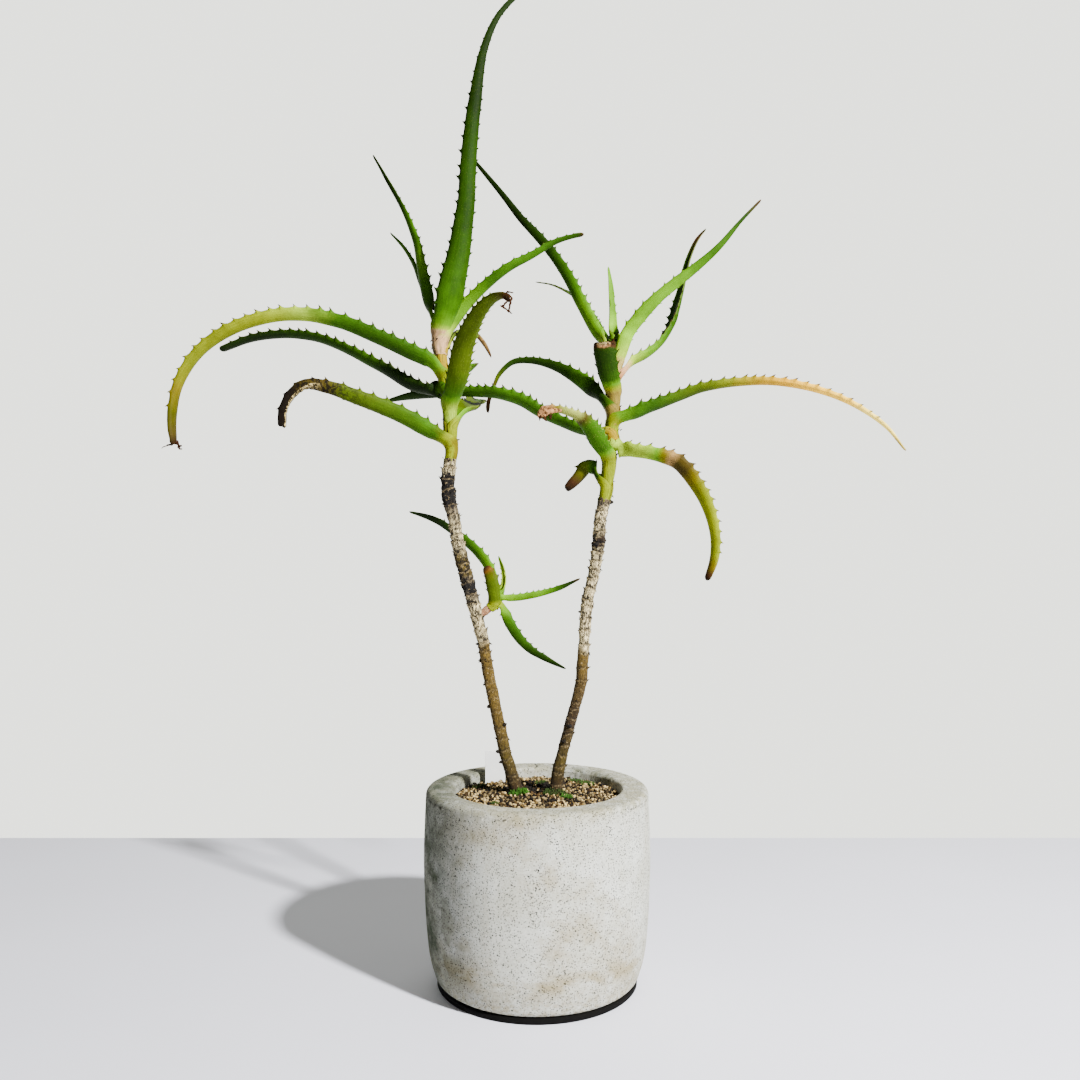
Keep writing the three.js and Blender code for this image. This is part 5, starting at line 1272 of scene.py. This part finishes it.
def marginRise(teeth, centres, at):
    # how far up a tooth the margin is at this length, and how far out it stands
    number = bisect.bisect(centres, at)
    for k in (number - 1, number):
        if not 0 <= k < len(teeth):
            continue
        centre, width, height = teeth[k]
        part = (at - centre) / width
        if -1 <= part <= 0:
            return (1 + part) ** 2.4, height
        if 0 < part <= 0.85:
            return (1 - part / 0.85) ** 2.6, height
    if 0 < number < len(teeth):
        part = (at - centres[number - 1]) / (centres[number] - centres[number - 1])
        return 0.0, -leafSettings["scallop"] * math.sin(math.pi * part)
    return 0.0, 0.0


def bladeStations(length, throatLength, tip, teethOfMargins):
    # places along the blade where a ring of points is set, close together at the teeth
    places = {0.0, round(length, 2)}
    count = max(4, int(length / leafSettings["step"]))
    places.update(round(length * k / count, 2) for k in range(count))
    places.update(round(throatLength * k / 4, 2) for k in range(1, 5))
    bends = [throatLength + 1.1 * k for k in range(1, 14)]
    places.update(round(bend, 2) for bend in bends if bend < length - tip)
    places.update(round(length - tip * share, 2) for share in (0.03, 0.12, 0.3, 0.55, 0.8))
    peaks = set()
    for teeth in teethOfMargins:
        for centre, width, _ in teeth:
            peaks.add(centre)
            steps = [-1, -0.66, -0.42, -0.26, -0.13, 0.1, 0.22, 0.38, 0.6, 0.85]
            places.update(round(centre + width * s, 2) for s in steps if 0 < centre + width * s < length)
    kept = []
    for place in sorted(places | peaks):
        if kept and place - kept[-1] < 0.16:
            if place in peaks or place == round(length, 2):
                kept[-1] = place
            continue
        kept.append(place)
    return kept


def leafRings(name, leaf, rng):
    settings = leafSettings
    samples, throatLength, out, radii = leafPath(name, leaf)
    blunt = "blunt" in leaf
    lengths = [s[0] for s in samples]
    total = lengths[-1]
    broad = max(p[3] for p in leaf["spine"])
    early = settings["early"]
    opening = settings["openLength"] * broad + early
    turning = settings["faceLength"] * broad
    tip = settings["bluntTip"] if blunt else min(settings["tip"], total / 5)
    # a leaf that isn't dry or wilted has these ranges beyond its tip
    dryFrom, dryTo, dryRoll = leaf.get("dry", (2, 3, 0))
    wiltFrom, wiltTo, wiltWidth = leaf.get("wilt", (2, 3, 1))
    faces = [Vector(f) for f in leaf["face"]]
    teeth = [toothPlaces(samples, leaf, rng) for _ in range(2)]
    centres = [[t[0] for t in margin] for margin in teeth]
    across = settings["across"]
    levels = [math.sin(math.pi / 2 * (2 * k / (across - 1) - 1)) for k in range(across)]
    waver = Vector((rng.uniform(0, 50), rng.uniform(0, 50), rng.uniform(0, 50)))
    rings = []
    values = {key: [] for key in ("along", "across", "lengthwise", "edge", "tooth", "under", "dry")}
    stations = bladeStations(total, throatLength, tip, teeth)
    for at in stations:
        k = min(max(bisect.bisect(lengths, at) - 1, 0), len(samples) - 2)
        gap = lengths[k + 1] - lengths[k]
        part = (at - lengths[k]) / gap if gap else 0.0
        point = samples[k][1].lerp(samples[k + 1][1], part)
        place = lerp(samples[k][2], samples[k + 1][2], part)
        wide = lerp(samples[k][3], samples[k + 1][3], part)
        along = (samples[min(k + 2, len(samples) - 1)][1] - samples[max(k - 1, 0)][1]).normalized()
        opened = 1 - (1 - clamped((at - throatLength + early) / opening)) ** 2
        turned = eased((at - throatLength) / turning)
        face = (-out).lerp(faces[0].lerp(faces[1], place).normalized(), turned)
        top = (face - along * face.dot(along)).normalized()
        side = along.cross(top)
        dried = eased((place - dryFrom) / (dryTo - dryFrom)) if place > dryFrom else 0.0
        end = clamped((total - at) / tip)
        end = lerp(0.75, 1, end) if blunt else max(0.03, math.sqrt(1 - (1 - end) ** 2))
        sheathRadius = lerp(radii[0], radii[1], clamped(at / throatLength))
        half = lerp(settings["wrap"], settings["bend"], opened)
        half = lerp(half, dryRoll, dried)
        wide *= lerp(1, wiltWidth, eased((place - wiltFrom) / (wiltTo - wiltFrom)))
        chord = lerp(2 * sheathRadius, wide, opened) * end
        thick = lerp(settings["sheathWall"], max(settings["thick"] * wide, settings["thinnest"]), opened)
        thick = lerp(thick, 0.16 * wide + 0.25, dried) * end
        margin = min(settings["margin"] * lerp(0.8, 1, opened) * end, thick)
        rounded = chord / 2 / math.sin(min(half, math.pi / 2))
        point = point + noise.noise_vector(point / 17 + waver) * settings["waver"] * opened
        rises = [marginRise(teeth[m], centres[m], at) for m in range(2)]

        def arc(level, depth):
            turn = half * level
            inward = top * math.cos(turn) - side * math.sin(turn)
            shrivel = 1 + 0.5 * dried * noise.noise(Vector((level * 1.5, at / 2.2, 7)) + waver)
            outside = side * math.sin(turn) + top * (1 - math.cos(turn))
            return point + outside * rounded - inward * depth * shrivel

        def outward(sign):
            return side * math.cos(half) * sign + top * math.sin(half)

        def atMargin(sign, depth):
            rise, reach = rises[sign > 0]
            squeeze = lerp(depth, margin / 2, 0.9 * rise)
            shift = (reach * rise if rise else reach) * opened * end
            spot = arc(sign, squeeze) + outward(sign) * shift
            return spot + along * settings["hook"] * rise * rise * max(reach, 0)

        torn = settings["torn"] if blunt and at == stations[-1] else 0.0
        ring, row = [], {key: [] for key in values}

        def put(spot, level, edge, tooth, under):
            if torn:
                spot = spot + along * torn * noise.noise(spot / 1.6 + waver)
            ring.append(spot * mm)
            numbers = (place, level, at / 100, edge, tooth, under, dried)
            for key, number in zip(values, numbers):
                row[key].append(number)

        def putFace(order, under):
            # one side of the blade from margin to margin, under being 0 on top and 1 below
            for level in order:
                if abs(level) > 0.999:
                    sign = round(level)
                    put(atMargin(sign, margin * under), level, 1.0, rises[sign > 0][0], under)
                else:
                    depth = margin * abs(level) ** 3 + thick * (1 - abs(level) ** 3) ** 0.6
                    put(arc(level, depth * under), level, 0.0, 0.0, under)

        def putLip(sign):
            spot = atMargin(sign, margin / 2) + outward(sign) * (0.3 * margin * end)
            put(spot, sign, 1.0, rises[sign > 0][0], 0.5)

        putFace(levels, 0.0)
        putLip(1)
        putFace(reversed(levels), 1.0)
        putLip(-1)
        rings.append(ring)
        for key in values:
            values[key].append(row[key])
    return rings, values


def leafFinish(name, leaf):
    finish = Finish(name, 0.5, leaf.get("sheen", 0.05))
    place = finish.place()
    lengthwise, across = finish.attribute("lengthwise"), finish.attribute("across")
    streaks = finish.noise(finish.together(finish.times(across, 9.0),
                                           finish.times(lengthwise, 5.0)), 1.0, 5, 0.65)
    fibres = finish.noise(finish.together(finish.times(across, 34.0),
                                          finish.times(lengthwise, 9.0)), 1.0, 3, 0.6)
    drift = finish.ranged(finish.noise(place, 70, 4, 0.6), 0.2, 0.8, -0.03, 0.03)
    along = finish.most(finish.attribute("along"), 0.0)
    sheathed = finish.ranged(along, 0.0, 0.06, 1, 0)
    along = finish.plus(along, finish.times(drift, finish.ranged(along, 0.0, 0.1)))
    base = finish.ramp(along, leaf["tones"])
    # where the dead end has lost its skin the pale inside shows, with dark blots; on left_leaf_cut the pale
    # strip is partly a painted highlight
    if "backTones" in leaf:
        torn = finish.ranged(finish.noise(place, 500, 4, 0.7), 0.38, 0.5)
        reach = finish.ranged(along, 0.6, 0.72, 0.5, leaf["backReach"])
        keel = finish.ranged(finish.minus(reach, finish.maths("ABSOLUTE", across)), 0, 0.1)
        behind = finish.times(finish.times(finish.attribute("under"), keel), torn)
        base = finish.mix(behind, base, finish.ramp(along, leaf["backTones"]))
        blots = finish.ranged(finish.noise(place, 330, 4, 0.7), 0.49, 0.53, 0, 0.95)
        blots = finish.times(blots, finish.ranged(along, *leaf["blots"]))
        base = finish.mix(blots, base, "black")
    cloud = finish.noise(place, 120, 5, 0.6)
    base = finish.shaded(base, cloud, 0.7, 1.3)
    base = finish.shaded(base, streaks, 0.76, 1.2)
    # the leaf bases are fibrous, with green streaks
    lines = finish.times(sheathed, finish.ranged(fibres, 0.48, 0.6, 0, 0.75))
    base = finish.mix(lines, base, "oliveGreen")
    dots = finish.ranged(finish.noise(place, 800, 3, 0.7), 0.62, 0.7, 0, 0.8)
    base = finish.mix(finish.times(sheathed, dots), base, "brown")
    specks = finish.ranged(finish.spots(place, 620), 0.14, 0.26, leaf.get("specks", 0.06), 0)
    base = finish.mix(specks, base, "paleOlive")
    edge = finish.ranged(finish.attribute("edge"), 0.7, 1.0, 0, leaf.get("pale", 0.12))
    base = finish.mix(edge, base, "marginPale")
    edge = finish.ranged(finish.attribute("edge"), 0.4, 1.0, 0, 0.85)
    base = finish.mix(finish.times(sheathed, edge), base, "brown")
    base = finish.mix(finish.ranged(finish.attribute("tooth"), 0.3, 0.7), base, "toothBrown")
    dry = finish.attribute("dry")
    mottle = finish.ranged(finish.noise(place, 420, 5, 0.7), 0.46, 0.58, 0, 0.85)
    base = finish.mix(finish.times(dry, mottle), base, leaf.get("mottle", "brown"))
    relief = finish.plus(finish.times(streaks, 0.7), finish.noise(place, 900, 3))
    relief = finish.plus(relief, finish.times(fibres, sheathed))
    finish.bumped(relief, 0.3, 0.0006)
    roughness = finish.ranged(cloud, 0.2, 0.8, 0.5, 0.64)
    return finish.done(base, finish.plus(roughness, finish.times(dry, 0.35)))


def addStrand(bm, line, dark):
    # a dried shred, thin and crooked
    points = [Vector(p[:3]) for p in line]
    rings, sides = [], 7
    samples = curveSamples(points, 9)
    for k, (number, point) in enumerate(samples):
        step = min(int(number), len(line) - 2)
        radius = lerp(line[step][3], line[step + 1][3], number - step) / 2
        ahead = samples[min(k + 1, len(samples) - 1)][1] - samples[max(k - 1, 0)][1]
        along = ahead.normalized()
        side = along.orthogonal().normalized()
        other = along.cross(side)
        ring = []
        point = point + noise.noise_vector(point / 1.8) * 0.5 * clamped(k / 4)
        for x, y in ringSpots(1, sides):
            spot = point / 1.1 + Vector((x, y, 0)) * 2
            crumple = 1.1 + (0.9 if radius < 1.4 else 0.3) * noise.noise(spot)
            ring.append((point + (side * x + other * y * 0.6) * radius * crumple) * mm)
        rings.append(ring)
    rows = len(rings)
    flat = {"along": 1, "across": 0, "lengthwise": 0, "edge": 0, "tooth": dark, "under": 1, "dry": 1}
    addTube(bm, rings, {key: [[value] * sides] * rows for key, value in flat.items()})


def makeLeaf(name, leaf, number):
    rng = random.Random(leafSettings["seed"] + number)
    bm = bmesh.new()
    rings, values = leafRings(name, leaf, rng)
    addTube(bm, rings, values)
    for key, dark in (("strands", 0.0), ("frays", 1.0)):
        for line in leaf.get(key, []):
            addStrand(bm, line, dark)
    showPiece(bm, name + "_skin", leafFinish(name + "_flesh", leaf), leaf["slot"], name)


# Floor and light
stageSettings = {
    "floorLow": (-1.5, -1.1), "floorHigh": (1.5, 0.349), "worldColour": (0.84, 0.85, 0.79, 1),
    "worldFade": (0.55, 0.8), "worldFront": 0.18, "worldBack": 2.9, "aim": (0, 0, 0.3),
    "key": 118, "keyPlace": (0.95, -1.0, 1.12), "keySize": 0.11,
    "fill": 0.8, "fillPlace": (-1.3, -0.9, 0.8), "fillSize": 1.2,
}


def addLight(name, place, size, power):
    data = bpy.data.lights.new(name, "AREA")
    data.shape = "DISK"
    data.size = size
    data.energy = power
    light = addObject(name, data)
    light.location = place
    aim = Vector(stageSettings["aim"]) - Vector(place)
    light.rotation_euler = aim.to_track_quat("-Z", "Y").to_euler()


def makeStage():
    settings = stageSettings
    bm = bmesh.new()
    made = bmesh.ops.create_grid(bm, x_segments=1, y_segments=1, size=1)["verts"]
    for vert in made:
        vert.co.x = settings["floorLow" if vert.co.x < 0 else "floorHigh"][0]
        vert.co.y = settings["floorLow" if vert.co.y < 0 else "floorHigh"][1]
    finish = Finish("floor_paint", 0.7, 0.3)
    cloud = finish.noise(finish.place(), 6)
    floor = addObject("floor", meshFrom(bm, "floor"))
    floor.data.materials.append(finish.done(finish.shaded("floorPale", cloud, 0.98, 1.02)))
    world = bpy.data.worlds.new("studio")
    world.use_nodes = True
    backdrop = world.node_tree.nodes["Background"]
    backdrop.inputs["Color"].default_value = settings["worldColour"]
    # brighter behind the plant than on the camera's side
    coordinates = world.node_tree.nodes.new("ShaderNodeTexCoord")
    parts = world.node_tree.nodes.new("ShaderNodeSeparateXYZ")
    fade = world.node_tree.nodes.new("ShaderNodeMapRange")
    numbers = (*settings["worldFade"], settings["worldFront"], settings["worldBack"])
    for socket, number in zip(fade.inputs[1:5], numbers):
        socket.default_value = number
    world.node_tree.links.new(coordinates.outputs["Generated"], parts.inputs["Vector"])
    world.node_tree.links.new(parts.outputs["Y"], fade.inputs["Value"])
    world.node_tree.links.new(fade.outputs["Result"], backdrop.inputs["Strength"])
    bpy.context.scene.world = world
    for name in ("key", "fill"):
        addLight(name, settings[name + "Place"], settings[name + "Size"], settings[name])


makeCamera()
print("camera set")
makePot()
makePad()
finishInside()
print("pot done")
makeSoil()
makeGrains()
makeMoss()
makeLabel()
print("soil done")
makeStem("bark_left", "left", "stem_left", "shoot")
makeStem("bark_right", "right", "stem_right")
print("stems done")
for leafNumber, (leafName, leafValues) in enumerate(leaves.items()):
    makeLeaf(leafName, leafValues, leafNumber)
print("leaves done")
makeStage()
print("stage done")
